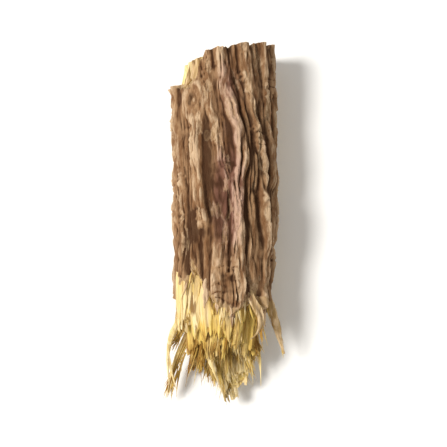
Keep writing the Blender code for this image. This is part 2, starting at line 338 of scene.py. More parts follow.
print("half way through an ease:", smooth(0.0, 1.0, 0.5))


# %% Noise
CELL_PRIMES = np.array([73856093, 19349663, 83492791])
SEED_PRIME = 374761393
MIX_PRIME = 1274126177
BITS_32 = 0xFFFFFFFF
BITS_16 = 0xFFFF


def lattice(cell, seed):
    """A repeatable random value from -1 to 1 for each lattice cell, by mixing its numbers' bits."""
    mixed = np.bitwise_xor.reduce(cell * CELL_PRIMES, axis=-1)
    mixed = (mixed + seed * SEED_PRIME) & BITS_32
    mixed = ((mixed ^ (mixed >> 13)) * MIX_PRIME) & BITS_32
    return ((mixed ^ (mixed >> 16)) & BITS_16) / (0.5 * BITS_16) - 1.0


def noise(x, y, z, seed):
    """Soft noise from -1 to 1: the values at a cell's eight corners, eased across it."""
    point = np.stack(np.broadcast_arrays(x, y, z), axis=-1)
    cell = np.floor(point).astype(np.int64)
    share = smooth(0.0, 1.0, point - cell)
    total = 0.0
    for corner in itertools.product((0, 1), repeat=3):
        weight = np.where(np.array(corner) == 1, share, 1.0 - share).prod(axis=-1)
        total = total + weight * lattice(cell + np.array(corner), seed)
    return total


def streaks(x, y, z, across, along, seed, levels=3):
    """Noise stretched along Y, in layers, each of half the size and half the height of the last."""
    total = 0.0
    for level in range(levels):
        size = 0.5**level
        layer = noise(x / (across * size), y / (along * size), z / (across * size), seed + level)
        total = total + layer * size
    return total


print("noise at a point:", round(float(noise(0.3, 0.4, 0.5, 1)), 3))

# %% [markdown]
# ## The shape of the root
#
# The root is described by one function: for an angle round the axis and a place
# along it, how far out is the surface? The bark follows the tapered root with
# its ridges. The splits are flat planes, and a plane's distance grows as one
# over the cosine of the angle away from the way it faces, so the nearer of the
# two wins. This is the same rule as in the solid model. What is new is layers:
# wood, then inner bark, then a thin skin of cork, each with its own ragged end,
# so that the torn edge shows all three.


# %% The mean root, its axis and its scar
def root_radius(angle, y):
    """Radius of the root's mean surface: tapered, and a little oval."""
    taper = (y - BARK_STOP) / (CUT_END - BARK_STOP)
    mean = RADIUS_AT_BARK_STOP + (RADIUS_AT_CUT - RADIUS_AT_BARK_STOP) * taper
    return mean + OVAL * np.cos(2.0 * np.radians(angle - OVAL_LONG_ANGLE))


def axis_x(y):
    """Sideways place of the root's axis, which bows a little along its length."""
    return AXIS_BOW * (np.cos(np.pi * (y - AXIS_BOW_CREST_Y) / AXIS_BOW_SPAN) - 0.5)


def scar_distance(angle, y):
    """Distance from the scar's middle, counted in half widths across and half lengths along."""
    across = np.radians(angle - SCAR_ANGLE) * root_radius(angle, y) / SCAR_HALF_WIDTH
    return np.hypot(across, (y - SCAR_Y) / SCAR_HALF_LENGTH)


print("radius on top at y = 0, mm:", round(float(root_radius(0.0, 0.0)), 2))

# %% Big ridges, as in the solid model, and the way that the small ones drift with them
DRIFT_REACH = 15.0
NEARLY_NONE = 1e-6
SCAR_BOSS = 0.34
SCAR_BOSS_SIZE = 0.34
SCAR_SWIRL = 0.14
SWIRL_RINGS = 11.0
SWIRL_ARMS = 6.0
SWIRL_REACH = 0.9


def ridge_relief(angle, y):
    """Height of the big ridges and of the scar's rim above the furrows.

    A ridge is a rounded lobe across its crest line. Overlapping lobes blend by
    a power mean, and crest lines bend aside where they pass the scar.
    """
    radius = root_radius(angle, y)
    from_scar = scar_distance(angle, y)
    at_scar = bell(from_scar)
    bent = SCAR_ANGLE + (angle - SCAR_ANGLE) * (1.0 - SCAR_PUSH * at_scar)
    total = 0.0
    for height, half_width, track in RIDGES:
        first = min(track)[0]
        last = max(track)[0]
        fade = span(first - RIDGE_FADE, first, last, last + RIDGE_FADE, y)
        offset = np.radians(bent - follow(track, y)) * radius / half_width
        lobe = height * fade * np.clip(1.0 - offset**2, 0.0, 1.0)
        total = total + lobe**RIDGE_BLEND
    ridges = total ** (1.0 / RIDGE_BLEND)
    rim = SCAR_RIM * bell(from_scar - SCAR_RIM_AT, SCAR_RIM_WIDTH)
    rim = rim + SCAR_BOSS * bell(from_scar, SCAR_BOSS_SIZE)
    swirl = np.sin(from_scar * SWIRL_RINGS + np.radians(angle) * SWIRL_ARMS)
    swirl = SCAR_SWIRL * swirl * bell(from_scar, SWIRL_REACH, 4)
    return ridges * (1.0 - at_scar) + rim + swirl


def drift(angle, y):
    """How far, in degrees, the nearest crest lines have wandered from their own mean angle."""
    weights = NEARLY_NONE
    moved = 0.0
    for *_, track in RIDGES:
        here = follow(track, y)
        mean = np.mean([point[1] for point in track])
        weight = bell(angle - here, DRIFT_REACH)
        weights = weights + weight
        moved = moved + weight * (here - mean)
    return moved / weights


tallest = ridge_relief(np.linspace(-60, 60, 200), np.zeros(200)).max()
print("tallest ridge on top, mm:", round(float(tallest), 2))

# %% [markdown]
# Dried bark shrinks on the wood below it, and folds into wrinkles of every size.
# The absolute value of noise has just that look: rounded backs with a sharp
# crease between them. Stretched along Y, and shifted sideways with the big
# ridges, its creases join and part as real ones do.

# %% Wrinkles and creases of the bark
WRINKLE_HEIGHT = 0.44
SMALL_WRINKLE_HEIGHT = 0.26
WRINKLE_MEAN = 0.27
STRIA_HEIGHT = 0.08
CROSS_CREASE = 0.13
CREASE_WIDTH = 0.20
CREASE_WAVER = 0.22
WRINKLE_WAVER = 2.5
WAVER_ANGLE = 14.0
WAVER_LENGTH = 2.6
# Sizes of a streak or a cell of noise, across and along the root
WRINKLE_CELL = (0.62, 4.4)
SMALL_WRINKLE_CELL = (0.25, 1.6)
STRIA_CELL = (0.13, 0.6)
WAVER_CELL = (0.45, 0.8)
CREASE_CELL = (1.0, 0.60)
CREASED_CELL = (1.6, 2.0)


def bark_coordinates(angle, y):
    """A point on a plain cylinder that the wrinkles are read from, turned to follow the ridges."""
    waver = noise(angle / WAVER_ANGLE, y / WAVER_LENGTH, 0.0, 5)
    turned = np.radians(angle - drift(angle, y) + WRINKLE_WAVER * waver)
    return RADIUS_AT_BARK_STOP * np.sin(turned), y, RADIUS_AT_BARK_STOP * np.cos(turned)


def wrinkle_relief(x, y, z):
    """Fine relief of the bark: billowed streaks of two sizes, fine striae and cross creases."""
    wide = np.abs(streaks(x, y, z, *WRINKLE_CELL, 21, levels=1))
    small = np.abs(streaks(x, y, z, *SMALL_WRINKLE_CELL, 31, levels=1))
    stria = streaks(x, y, z, *STRIA_CELL, 35, levels=1)
    waver = y + CREASE_WAVER * streaks(x, y, z, *WAVER_CELL, 45, levels=1)
    cross = np.abs(streaks(x, waver, z, *CREASE_CELL, 41, levels=1))
    crossed = smooth(0.0, 0.45, streaks(x, y, z, *CREASED_CELL, 43, levels=1))
    folds = WRINKLE_HEIGHT * (wide - WRINKLE_MEAN) + SMALL_WRINKLE_HEIGHT * (small - WRINKLE_MEAN)
    return folds + STRIA_HEIGHT * stria - CROSS_CREASE * (bell(cross, CREASE_WIDTH) * crossed)


print("wrinkle height, mm:", WRINKLE_HEIGHT)

# %% Rootlet scars and lost flakes of cork
# Each rootlet: angle, y and size
ROOTLETS = (
    (-28.0, -0.7, 0.60), (21.0, 12.4, 0.34), (46.0, 1.6, 0.40), (-63.0, 3.4, 0.42),
    (7.0, -5.4, 0.34), (67.0, -3.2, 0.38), (-11.0, 6.4, 0.30), (-74.0, 8.8, 0.36),
    (34.0, 7.6, 0.30),
)
ROOTLET_HEIGHT = 0.17
ROOTLET_LONGER = 0.8
ROOTLET_UNEVEN = 0.35
ROOTLET_CELL = 0.28
ROOTLET_DIMPLE = 0.16
DIMPLE_SIZE = 0.36
FLAKE_CELL = (0.60, 2.3)
FLAKE_FROM = 0.51
FLAKE_TO = 0.57
FLAKE_ON_RIDGES = 0.25


def rootlet_relief(angle, y):
    """Little round scars where hair roots grew: a low boss with a dimple in it."""
    total = 0.0
    for scar_angle, scar_y, size in ROOTLETS:
        across = np.radians(angle - scar_angle) * RADIUS_AT_BARK_STOP
        away = np.hypot(across, (y - scar_y) * ROOTLET_LONGER) / size
        uneven = noise(across / ROOTLET_CELL, y / ROOTLET_CELL, scar_angle, 15)
        away = away * (1.0 + ROOTLET_UNEVEN * uneven)
        boss = ROOTLET_HEIGHT * bell(away, power=4)
        total = total + boss - ROOTLET_DIMPLE * bell(away, DIMPLE_SIZE)
    return total


def flake_loss(x, y, z, relief):
    """Share of the cork that has come off: 1 in ragged patches, larger on the taller ridges."""
    patches = streaks(x, y, z, *FLAKE_CELL, 51, levels=4)
    return smooth(FLAKE_FROM, FLAKE_TO, patches + FLAKE_ON_RIDGES * smooth(0.1, 0.5, relief))


grid = np.meshgrid(np.linspace(-80, 80, 160), np.linspace(-6, 14, 200))
sample = flake_loss(*bark_coordinates(*grid), ridge_relief(*grid))
print("share of the cork lost:", round(float(sample.mean()), 2))

# %% Ragged ends of the bark's layers
EDGE_TEETH = 0.55
FAR_EDGE_TEETH = 0.385
CORK_BACK_LEAST = 0.15
CORK_BACK_MOST = 0.9
BARK_RAMP = 0.22
CORK_RAMP = 0.10
FINE_TEETH = 3.1


def edge_teeth(angle, size, seed):
    """Ragged offset of an edge round the root: pointed teeth of a given width."""
    turn = np.radians(angle)
    around = RADIUS_AT_BARK_STOP / size
    coarse = noise(around * np.sin(turn), 0.0, around * np.cos(turn), seed)
    around = FINE_TEETH * around
    fine = noise(around * np.sin(turn), 0.5, around * np.cos(turn), seed + 1)
    return coarse + 0.6 * fine


def layer_cover(angle, y):
    """Shares of inner bark and of cork that are left at each point, from 0 to 1."""
    near = follow(BARK_NEAR_EDGE, angle) + EDGE_TEETH * edge_teeth(angle, 0.7, 61)
    far = follow(BARK_FAR_EDGE, angle) + FAR_EDGE_TEETH * edge_teeth(angle, 0.8, 64)
    step = CORK_BACK_MOST * np.abs(edge_teeth(angle, 0.9, 67)) + CORK_BACK_LEAST
    inner = span(near, near + BARK_RAMP, far - BARK_RAMP, far, y)
    near = near + step
    return inner, span(near, near + CORK_RAMP, far - step - CORK_RAMP, far - step, y)


print("bark layers end near y =", BARK_STOP)

# %% Wood: grain, ledges and the split faces
GRAIN_DEPTH = 0.13
GRAIN_CELL = (0.26, 4.5)
LEDGE_DEPTH = 0.30
LEDGE_EDGE = 0.04
BUNDLE_CELL = (0.9, 8.0)
SMALL_BUNDLE_CELL = (0.4, 4.0)
SMALL_LEDGE_DEPTH = 0.16
SMALL_LEDGE_EDGE = 0.05
SLIVER_CELL = (0.36, 4.5)
LEAST_SLOPE = 0.05
FAR_AWAY = 1e3


def grain_relief(x, y, z):
    """Depth of the wood's grain: long streaks, and ledges where bundles of fibre tore away."""
    fine = streaks(x, y, z, *GRAIN_CELL, 71, levels=2)
    small = streaks(x, y, z, *SMALL_BUNDLE_CELL, 76, levels=1)
    bundle = streaks(x, y, z, *BUNDLE_CELL, 75, levels=1) + 0.35 * small
    sliver = streaks(x, y, z, *SLIVER_CELL, 77, levels=1)
    ledge = LEDGE_DEPTH * (smooth(-LEDGE_EDGE, LEDGE_EDGE, bundle) - 0.5)
    small_ledge = smooth(-SMALL_LEDGE_EDGE, SMALL_LEDGE_EDGE, sliver) - 0.5
    return GRAIN_DEPTH * fine + ledge + SMALL_LEDGE_DEPTH * small_ledge


def split_face(angle, faces, distance):
    """Distance from the axis to a split face, along each angle."""
    slope = np.cos(np.radians(angle - faces))
    return np.where(slope > LEAST_SLOPE, distance / np.maximum(slope, LEAST_SLOPE), FAR_AWAY)


def flank_radius(angle, y, relief):
    """Distance from the axis to the nearest split face, with the wood's own relief."""
    wave = FLANK_WAVE * np.sin(2.0 * np.pi * y / FLANK_WAVE_LENGTH + 1.0)
    pinch = FLANK_PINCH * (1.0 - smooth(WOOD_STOP, BARK_STOP, y))
    right = RIGHT_FLANK_DISTANCE + wave - pinch - relief
    left = LEFT_FLANK_DISTANCE - wave - pinch - relief
    reach = split_face(angle, RIGHT_FLANK_FACES, right)
    reach = np.minimum(reach, split_face(angle, LEFT_FLANK_FACES, left))
    reach = np.minimum(reach, split_face(angle, LEFT_FLANK_FACES - 360.0, left))
    under = AXIS_HEIGHT - np.maximum(0.6 * relief, 0.0)
    return np.minimum(reach, split_face(angle, UNDERSIDE_FACES, under))


def wood_loss(y):
    """Depth lost from the bare wood: the pull-in at the tear, and the chip at the cut."""
    at_tear = 1.0 - smooth(WOOD_STOP, BARK_STOP, y)
    at_chip = smooth(CUT_END - CHIP_RUN, CUT_END, y)
    return WOOD_TAPER * at_tear + CHIP_DROP * at_chip


print("grain depth, mm:", GRAIN_DEPTH)


# %% The side surface
RIDGE_MEAN = 0.90
RIDGE_UNEVEN = 0.30
UNEVEN_ANGLE = 13.0
UNEVEN_LENGTH = 1.3
SCAR_PLAIN = 0.55
FURROW_WRINKLES = 0.6
FLAKE_THICKNESS = 0.75
THINNEST_BARK = 0.3
STRETCH_FROM = 0.12
STRETCH_TO = 0.45


def surface(angle, y):
    """Distance from the axis to the surface and to the bark's top, bark relief and flake mask.

    The bark is the mean root with ridges, wrinkles and rootlets on it, and the wood starts
    BARK_THICKNESS inside that mean. The layers' shares mix the two, and the split faces cut
    both off.
    """
    angle = np.where(angle > 180.0, angle - 360.0, angle)
    mean = root_radius(angle, y)
    x, along, z = bark_coordinates(angle, y)
    uneven = noise(angle / UNEVEN_ANGLE, y / UNEVEN_LENGTH, 0.0, 13)
    ridges = ridge_relief(angle, y) * (RIDGE_MEAN + RIDGE_UNEVEN * uneven)
    plain = SCAR_PLAIN * bell(scar_distance(angle, y), power=4)
    wrinkled = FURROW_WRINKLES + (1.0 - FURROW_WRINKLES) * smooth(0.0, 0.3, ridges)
    relief = ridges + wrinkle_relief(x, along, z) * wrinkled * (1.0 - plain)
    relief = relief + rootlet_relief(angle, y)
    top = mean - FURROW_SINK + relief
    inner, cork = layer_cover(angle, y)
    lost = flake_loss(x, along, z, ridges)
    turn = np.radians(angle)
    guess = np.minimum(mean - BARK_THICKNESS, flank_radius(angle, y, 0.0 * y))
    grain = grain_relief(guess * np.sin(turn), y, guess * np.cos(turn))
    bare = mean - BARK_THICKNESS - wood_loss(y) - np.maximum(grain + 0.1, -0.1)
    under_cork = top - CORK_THICKNESS - 0.3 * np.maximum(grain, 0.0) * (1.0 - cork)
    radius = bare + inner * (under_cork - bare)
    radius = radius + inner * cork * CORK_THICKNESS * (1.0 - FLAKE_THICKNESS * lost)
    radius = np.minimum(radius, flank_radius(angle, y, grain))
    return radius, top, relief, np.maximum(lost, 1.0 - cork)


def bark_depth(angle, y, top, reach):
    """Depth below the bark's top, stretched inside it so that the wood starts at BARK_THICKNESS."""
    depth = top - reach
    to_wood = np.maximum(top - root_radius(angle, y) + BARK_THICKNESS, THINNEST_BARK)
    stretch = (BARK_THICKNESS / to_wood - 1.0) * depth
    return depth + stretch * smooth(STRETCH_FROM, STRETCH_TO, depth)


crown = surface(np.zeros(1), np.zeros(1))[0][0]
print("surface at the top, mm:", round(float(crown), 2))

# %% Cracks of the crosscut, and jags of the tear
# Each crack: angle, distance of its start and end from the axis, width
CRACKS = (
    (-56.0, 0.9, 3.6, 0.10), (41.0, 0.5, 3.9, 0.13), (112.0, 1.5, 3.1, 0.07),
    (-148.0, 0.7, 2.9, 0.08),
)
CRACK_WANDER = 4.0
CRACK_OPENING = 0.9
CRACK_CLOSING = 1.6
BUNDLE_HEIGHT = 0.75
BUNDLE_SIZE = 0.42
SMALL_BUNDLE_SIZE = 0.19


def drying_cracks(angle, reach):
    """1 along the crosscut's radial cracks, which open as the wood shrinks, and 0 beside them."""
    total = np.zeros_like(reach)
    for crack_angle, first, last, width in CRACKS:
        wander = CRACK_WANDER * noise(reach / 1.3, crack_angle, 0.0, 91) / np.maximum(reach, 1.0)
        away = np.radians((angle - crack_angle - wander + 180.0) % 360.0 - 180.0) * reach
        along = span(first, first + CRACK_OPENING, last - CRACK_CLOSING, last, reach)
        total = np.maximum(total, along * bell(away, width * (0.3 + 0.7 * along)))
    return total


def tear_jag(x, z):
    """How far the torn wood steps in and out over its end: a coarse wave, and bundles of fibre."""
    coarse = np.sin(2.1 * x + 0.7) * np.cos(1.7 * z) + 0.6 * np.sin(3.9 * z + 1.2 * x)
    bundles = noise(x / BUNDLE_SIZE, 0.0, z / BUNDLE_SIZE, 81)
    bundles = bundles + 0.7 * noise(x / SMALL_BUNDLE_SIZE, 0.0, z / SMALL_BUNDLE_SIZE, 82)
    return TEAR_JAG * coarse + BUNDLE_HEIGHT * bundles


print("cracks in the crosscut:", len(CRACKS))

# %% Stains and painted light: purplish, worn, dirty and shadowed bark, and cream and shadowed wood
# Each patch: angle, y, half width in degrees, half length, strength
ROSE_PATCHES = (
    (-3.0, 1.0, 16.0, 5.0, 0.85), (14.0, 1.5, 12.0, 6.0, 0.55), (6.0, 11.5, 20.0, 4.0, 0.55),
    (52.0, 6.0, 13.0, 2.6, 0.4),
)
# The strength is added to the crest value: above 0 is paler, partly worn and partly painted
# highlight on ridges; below 0 is darker, partly dirt and partly painted shade, with painted
# shadow at the left edge near y = -2.6 and painted shade over the right side near 60 degrees
STAIN_AND_SHADOW_PATCHES = (
    (-38.0, 6.0, 8.0, 5.5, 0.16), (-23.0, 3.2, 7.0, 4.0, -0.34), (-7.0, 11.0, 8.0, 3.0, 0.18),
    (-6.0, -0.2, 8.0, 3.2, -0.18), (13.0, 1.4, 6.0, 5.2, 0.26), (31.0, 4.6, 7.0, 4.8, -0.22),
    (60.0, 5.0, 18.0, 8.0, -0.06), (-46.0, -2.6, 18.0, 3.2, -0.40),
)
CREAM_PATCHES = (
    (-46.0, -7.6, 21.0, 2.8, 1.5), (-60.0, 14.8, 28.0, 3.2, 1.8), (118.0, 2.0, 16.0, 7.0, 0.6),
)
# Where a layer of inner bark is left on the wood; the strength is its thickness
BAST_PATCHES = ((-45.0, 14.8, 19.0, 3.4, 0.78),)
# The same for the torn wood, with x in place of the angle; above 0 is creamier, and below 0
# is deeper and browner, which is painted shadow in the torn end's low places and gaps
TORN_TONE_AND_SHADOW_PATCHES = (
    (-1.4, -9.2, 1.0, 1.1, 0.6), (0.7, -9.0, 0.9, 0.6, 0.9), (0.1, -11.9, 0.7, 0.9, -0.5),
    (1.7, -13.4, 0.8, 1.8, 0.8), (0.9, -15.3, 1.4, 1.2, 1.1), (-2.2, -12.2, 1.3, 1.9, -1.3),
    (2.9, -10.7, 0.8, 1.6, -1.4),
)
SCAR_RING_AT = 0.52
SCAR_RING_WIDTH = 0.20
SCAR_RING_TONE = 0.34
SCAR_TONE_REACH = 1.25


def patch(patches, across, along):
    """Soft oval patches, added up: each one's strength times a bell curve of the distance."""
    total = 0.0
    for middle, middle_along, half_width, half_length, strength in patches:
        away = np.hypot((across - middle) / half_width, (along - middle_along) / half_length)
        total = total + strength * bell(away)
    return total


def scar_tone(angle, y):
    """The scar's colours: a dark ring, painted shade in the groove, a pale boss inside it and a pale
    rim outside it.
    """
    from_scar = scar_distance(angle, y)
    ring = bell(from_scar - SCAR_RING_AT, SCAR_RING_WIDTH)
    near = bell(from_scar, SCAR_TONE_REACH, 4)
    return SCAR_RING_TONE * (0.5 * near - ring)


every_patch = ROSE_PATCHES + STAIN_AND_SHADOW_PATCHES + CREAM_PATCHES + BAST_PATCHES + TORN_TONE_AND_SHADOW_PATCHES
print("soft patches:", len(every_patch))

# %% Points of the body
CRACK_DEPTH = 0.40
SAW_ROUGHNESS = 0.03
SAW_CELL = 0.25
RIM_CHIP = 0.30
RIM_RUN = 0.6
RIM_FROM = 0.84
CUT_CORK = 0.14
BUNDLE_TINT = 0.55


def out_from_axis(angle, y, reach):
    """Points at a distance from the root's axis, each at its own angle."""
    turn = np.radians(angle)
    points = (axis_x(y) + reach * np.sin(turn), y, AXIS_HEIGHT + reach * np.cos(turn))
    return np.stack(points, axis=-1)


def body_points(angle, y, inward):
    """Points of the surface, drawn towards the axis by inward, and what a material needs there."""
    radius, top, relief, lost = surface(angle, y)
    reach = radius * inward
    x, _, z = np.moveaxis(out_from_axis(angle, y, reach), -1, 0)
    z = np.maximum(z, 0.0)
    on_cut = smooth(0.0, 0.03, 1.0 - inward) * (y > 0.0)
    crack = on_cut * drying_cracks(angle, reach)
    rough = on_cut * SAW_ROUGHNESS * noise(x / SAW_CELL, 3.0, z / SAW_CELL, 85)
    rough = rough - CRACK_DEPTH * crack
    bundle = noise(angle / 9.0, y / 11.0, reach / 0.8, 95)
    bundle = bundle + 0.6 * noise(angle / 4.0, y / 5.0, reach / 0.5, 96)
    cream = patch(CREAM_PATCHES, angle, y) * (1.0 - on_cut)
    depth = bark_depth(angle, y, top, reach) - CUT_CORK * on_cut
    depth = depth - patch(BAST_PATCHES, angle, y) * (1.0 - on_cut) * smooth(0.7, 0.9, depth)
    # The tint takes in the torn patches, whose darker ones are painted shadow
    values = {
        "depth": depth, "relief": relief, "lost": lost, "crack": crack,
        "rose": patch(ROSE_PATCHES, angle, y),
        "tint": BUNDLE_TINT * bundle + cream + patch(TORN_TONE_AND_SHADOW_PATCHES, x, y),
    }
    at_cut = smooth(CUT_END - CUT_SLANT_RUN, CUT_END, y)
    slant = CUT_SLANT_X * x + CUT_SLANT_Z * (z - AXIS_HEIGHT)
    at_tear = 1.0 - smooth(WOOD_STOP, WOOD_STOP + TEAR_JAG_RUN, y)
    at_rim = smooth(CUT_END - RIM_RUN, CUT_END, y) * smooth(RIM_FROM, 1.0, inward)
    chips = RIM_CHIP * np.maximum(edge_teeth(angle, 0.4, 97), 0.0) * at_rim
    y = y + at_cut * slant + rough + at_tear * tear_jag(x, z) - chips
    return np.stack([x, y, z], axis=-1), values


print("height of the top at y = 0, mm:", round(float(out_from_axis(0.0, 0.0, crown)[2]), 2))

# %% [markdown]
# ## From formula to mesh
#
# A grid of points, rings along the root and points round each ring, becomes a
# closed skin by joining each point to its neighbours and closing both ends with
# a fan. The grid is fed to the mesh as whole arrays. Values that the material
# needs, such as depth below the bark, ride along as attributes of the points.


# %% Meshes from grids
SHARP_FROM = 48.0


def grid_faces(rings, sides, start=0):
    """Corner numbers of the quads between neighbouring rings, as an array of four columns."""
    ring = np.arange(sides)
    ahead = (ring + 1) % sides
    low = start + np.arange(rings - 1)[:, None] * sides
    quads = np.stack([low + ring, low + ahead, low + sides + ahead, low + sides + ring], axis=-1)
    return quads.reshape(-1, 4)


def fan_faces(rings, sides, start, first_middle):
    """Corner numbers of the two end fans, whose middles are first_middle and the point after it."""
    ring = np.arange(sides)
    ahead = (ring + 1) % sides
    top = start + (rings - 1) * sides
    near = np.stack([start + ahead, start + ring, np.full(sides, first_middle)], axis=-1)
    far = np.stack([top + ring, top + ahead, np.full(sides, first_middle + 1)], axis=-1)
    return np.concatenate([near, far])


def make_mesh(name, points, quads, triangles, material, values=None):
    """A smooth mesh object from arrays in millimetres, with values as point attributes."""
    mesh = bpy.data.meshes.new(name)
    corners = np.concatenate([quads.ravel(), triangles.ravel()])
    mesh.vertices.add(len(points))
    mesh.vertices.foreach_set("co", (points * MM).astype(np.float32).ravel())
    mesh.loops.add(len(corners))
    mesh.loops.foreach_set("vertex_index", corners.astype(np.int32))
    starts = np.arange(len(quads)) * 4, len(quads) * 4 + np.arange(len(triangles)) * 3
    starts = np.concatenate(starts)
    mesh.polygons.add(len(starts))
    mesh.polygons.foreach_set("loop_start", starts.astype(np.int32))
    mesh.update(calc_edges=True)
    mesh.validate()
    mesh.shade_smooth()
    mesh.set_sharp_from_angle(angle=math.radians(SHARP_FROM))
    for key, value in (values or {}).items():
        layer = mesh.attributes.new(key, "FLOAT", "POINT")
        layer.data.foreach_set("value", np.asarray(value, dtype=np.float32).ravel())
    mesh.materials.append(material)
    piece = bpy.data.objects.new(name, mesh)
    bpy.context.scene.collection.objects.link(piece)
    print(name, "triangles:", 2 * len(quads) + len(triangles))
    return piece


def tubes(loops):
    """Points and faces of many closed tubes at once, from tubes by rings by sides of points."""
    count, rings, sides = loops.shape[:3]
    middles = loops[:, [0, -1]].mean(axis=2)
    points = np.concatenate([loops.reshape(-1, 3), middles.reshape(-1, 3)])
    each = rings * sides
    quads = [grid_faces(rings, sides, index * each) for index in range(count)]
    fans = [fan_faces(rings, sides, n * each, count * each + 2 * n) for n in range(count)]
    return points, np.concatenate(quads), np.concatenate(fans)


def tube_values(values):
    """Values of many tubes' points, by tube, ring and side, in the order that tubes() gives."""
    return np.concatenate([values.ravel(), values[:, [0, -1]].mean(axis=2).ravel()])


print("mesh helpers ready")

# %% [markdown]
# ## Shader arithmetic
#
# A material is a network of nodes. Written out node by node it is long and hard
# to read, so a socket is wrapped in a small class whose operators add the Math
# nodes. An expression such as 1 - mask * 0.4 then builds its own nodes.


# %% Sockets with operators
class Wire:
    """One output socket of a material, with arithmetic."""

    def __init__(self, graph, socket):
        self.graph = graph
        self.socket = socket

    def math(self, operation, first, second):
        """A Math node of one operation on two wires or numbers."""
        return self.graph.add("ShaderNodeMath", {"operation": operation}, {0: first, 1: second})

    def __add__(self, other):
        return self.math("ADD", self, other)

    def __radd__(self, other):
        return self.math("ADD", other, self)

    def __sub__(self, other):
        return self.math("SUBTRACT", self, other)

    def __rsub__(self, other):
        return self.math("SUBTRACT", other, self)

    def __mul__(self, other):
        return self.math("MULTIPLY", self, other)

    def __rmul__(self, other):
        return self.math("MULTIPLY", other, self)

    def rise(self, low, high):
        """0 below low, 1 above high, eased between: the shader's version of smooth."""
        settings = {"interpolation_type": "SMOOTHSTEP"}
        sockets = {"Value": self, "From Min": low, "From Max": high}
        return self.graph.add("ShaderNodeMapRange", settings, sockets)


print("operators of a socket: plus, minus and times")


# %% A material and its nodes
class Graph:
    """A new material and the nodes in it."""

    def __init__(self, name):
        self.material = bpy.data.materials.new(name)
        self.material.use_nodes = True
        self.tree = self.material.node_tree
        self.shader = self.tree.nodes["Principled BSDF"]

    def add(self, kind, settings=None, sockets=None, output=0):
        """A node of one type: its settings are set first, then its sockets' values or links."""
        node = self.tree.nodes.new(kind)
        for key, value in (settings or {}).items():
            setattr(node, key, value)
        for key, value in (sockets or {}).items():
            self.plug(node.inputs[key], value)
        return Wire(self, node.outputs[output])

    def plug(self, socket, value):
        """Link a wire into a socket, or set the socket's own value."""
        if isinstance(value, Wire):
            self.tree.links.new(value.socket, socket)
        else:
            socket.default_value = value

    def mix(self, share, first, second):
        """Colour that goes from first to second as share goes from 0 to 1."""
        sockets = {0: share, 6: colour(first), 7: colour(second)}
        return self.add("ShaderNodeMix", {"data_type": "RGBA"}, sockets, output=2)

    def value(self, name):
        """A point attribute of the mesh."""
        return self.add("ShaderNodeAttribute", {"attribute_name": name}, output=2)

    def place(self):
        """The point in millimetres, in the root's own frame."""
        point = self.add("ShaderNodeTexCoord", output=3)
        return self.stretch(point, (1.0 / MM,) * 3)

    def stretch(self, vector, factors):
        """A vector multiplied part by part."""
        return self.add("ShaderNodeVectorMath", {"operation": "MULTIPLY"}, {0: vector, 1: factors})

    def parts(self, vector):
        """The x, y and z of a vector, as three wires of one node."""
        first = self.add("ShaderNodeSeparateXYZ", sockets={0: vector})
        return [Wire(self, socket) for socket in first.socket.node.outputs]

    def join(self, x, y, z):
        """A vector from its x, y and z."""
        return self.add("ShaderNodeCombineXYZ", sockets={0: x, 1: y, 2: z})

    def noise(self, vector, factors, detail=3.0, roughness=0.55):
        """Blender's noise texture on a stretched vector, from 0 to 1."""
        sockets = {"Vector": self.stretch(vector, factors), "Scale": 1.0}
        sockets.update({"Detail": detail, "Roughness": roughness})
        return self.add("ShaderNodeTexNoise", {}, sockets)

    def dress(self, tone, roughness, shine, height, millimetres):
        """Plug a colour, a roughness and a height of so many millimetres into the shader."""
        bump = {"Height": height, "Distance": millimetres * MM, "Strength": 1.0}
        self.plug(self.shader.inputs["Base Color"], tone)
        self.plug(self.shader.inputs["Roughness"], roughness)
        self.plug(self.shader.inputs["Specular IOR Level"], shine)
        self.plug(self.shader.inputs["Normal"], self.add("ShaderNodeBump", {}, bump))
        return self.material


def colour(value):
    """A plain red, green and blue triple as a socket wants it; a wire stays as it is."""
    return value if isinstance(value, Wire) else (*value, 1.0)


print("shader tools ready")

# %% [markdown]
# ## Wood, inner bark and cork
#
# Licorice wood is bright yellow and coarsely fibrous. Its grain is noise that is
# stretched along Y and out along the radius, and read by the direction from the
# pith. A split face then shows long streaks, and a crosscut shows the rays that
# run out from the middle like spokes. Open vessels show as darker threads. The
# inner bark is tan, with a darker line where it meets the wood. The cork is
# brown, paler on the crests, partly worn and partly painted highlight, and nearly
# black in the furrows and creases, with dirt and painted shade.

# %% Wood colour
WOOD_DEEP = (0.250, 0.106, 0.010)
WOOD_MID = (0.575, 0.330, 0.050)
WOOD_PALE = (0.865, 0.660, 0.185)
WOOD_VESSEL = (0.17, 0.074, 0.012)
WOOD_CREAM = (0.900, 0.765, 0.470)
WOOD_CREAM_DEEP = (0.610, 0.420, 0.150)
GRAIN_RADIUS = 4.4
RADIUS_STRETCH = 2.2
PITH = (0.35, -0.45)
PITH_SIZE = 0.75
VESSEL_CELL = (3.4, 0.10, 3.4)


def grain_coordinates(graph, point):
    """The direction from the pith, with y plus the stretched distance as Y, and the distance."""
    x, y, z = graph.parts(point)
    spoke = graph.join(x - PITH[0], 0.0, z - (AXIS_HEIGHT + PITH[1]))
    away = graph.add("ShaderNodeVectorMath", {"operation": "LENGTH"}, {0: spoke}, output=1)
    way = graph.add("ShaderNodeVectorMath", {"operation": "NORMALIZE"}, {0: spoke})
    way_x, _, way_z = graph.parts(way)
    return graph.join(way_x * GRAIN_RADIUS, y + away * RADIUS_STRETCH, way_z * GRAIN_RADIUS), away


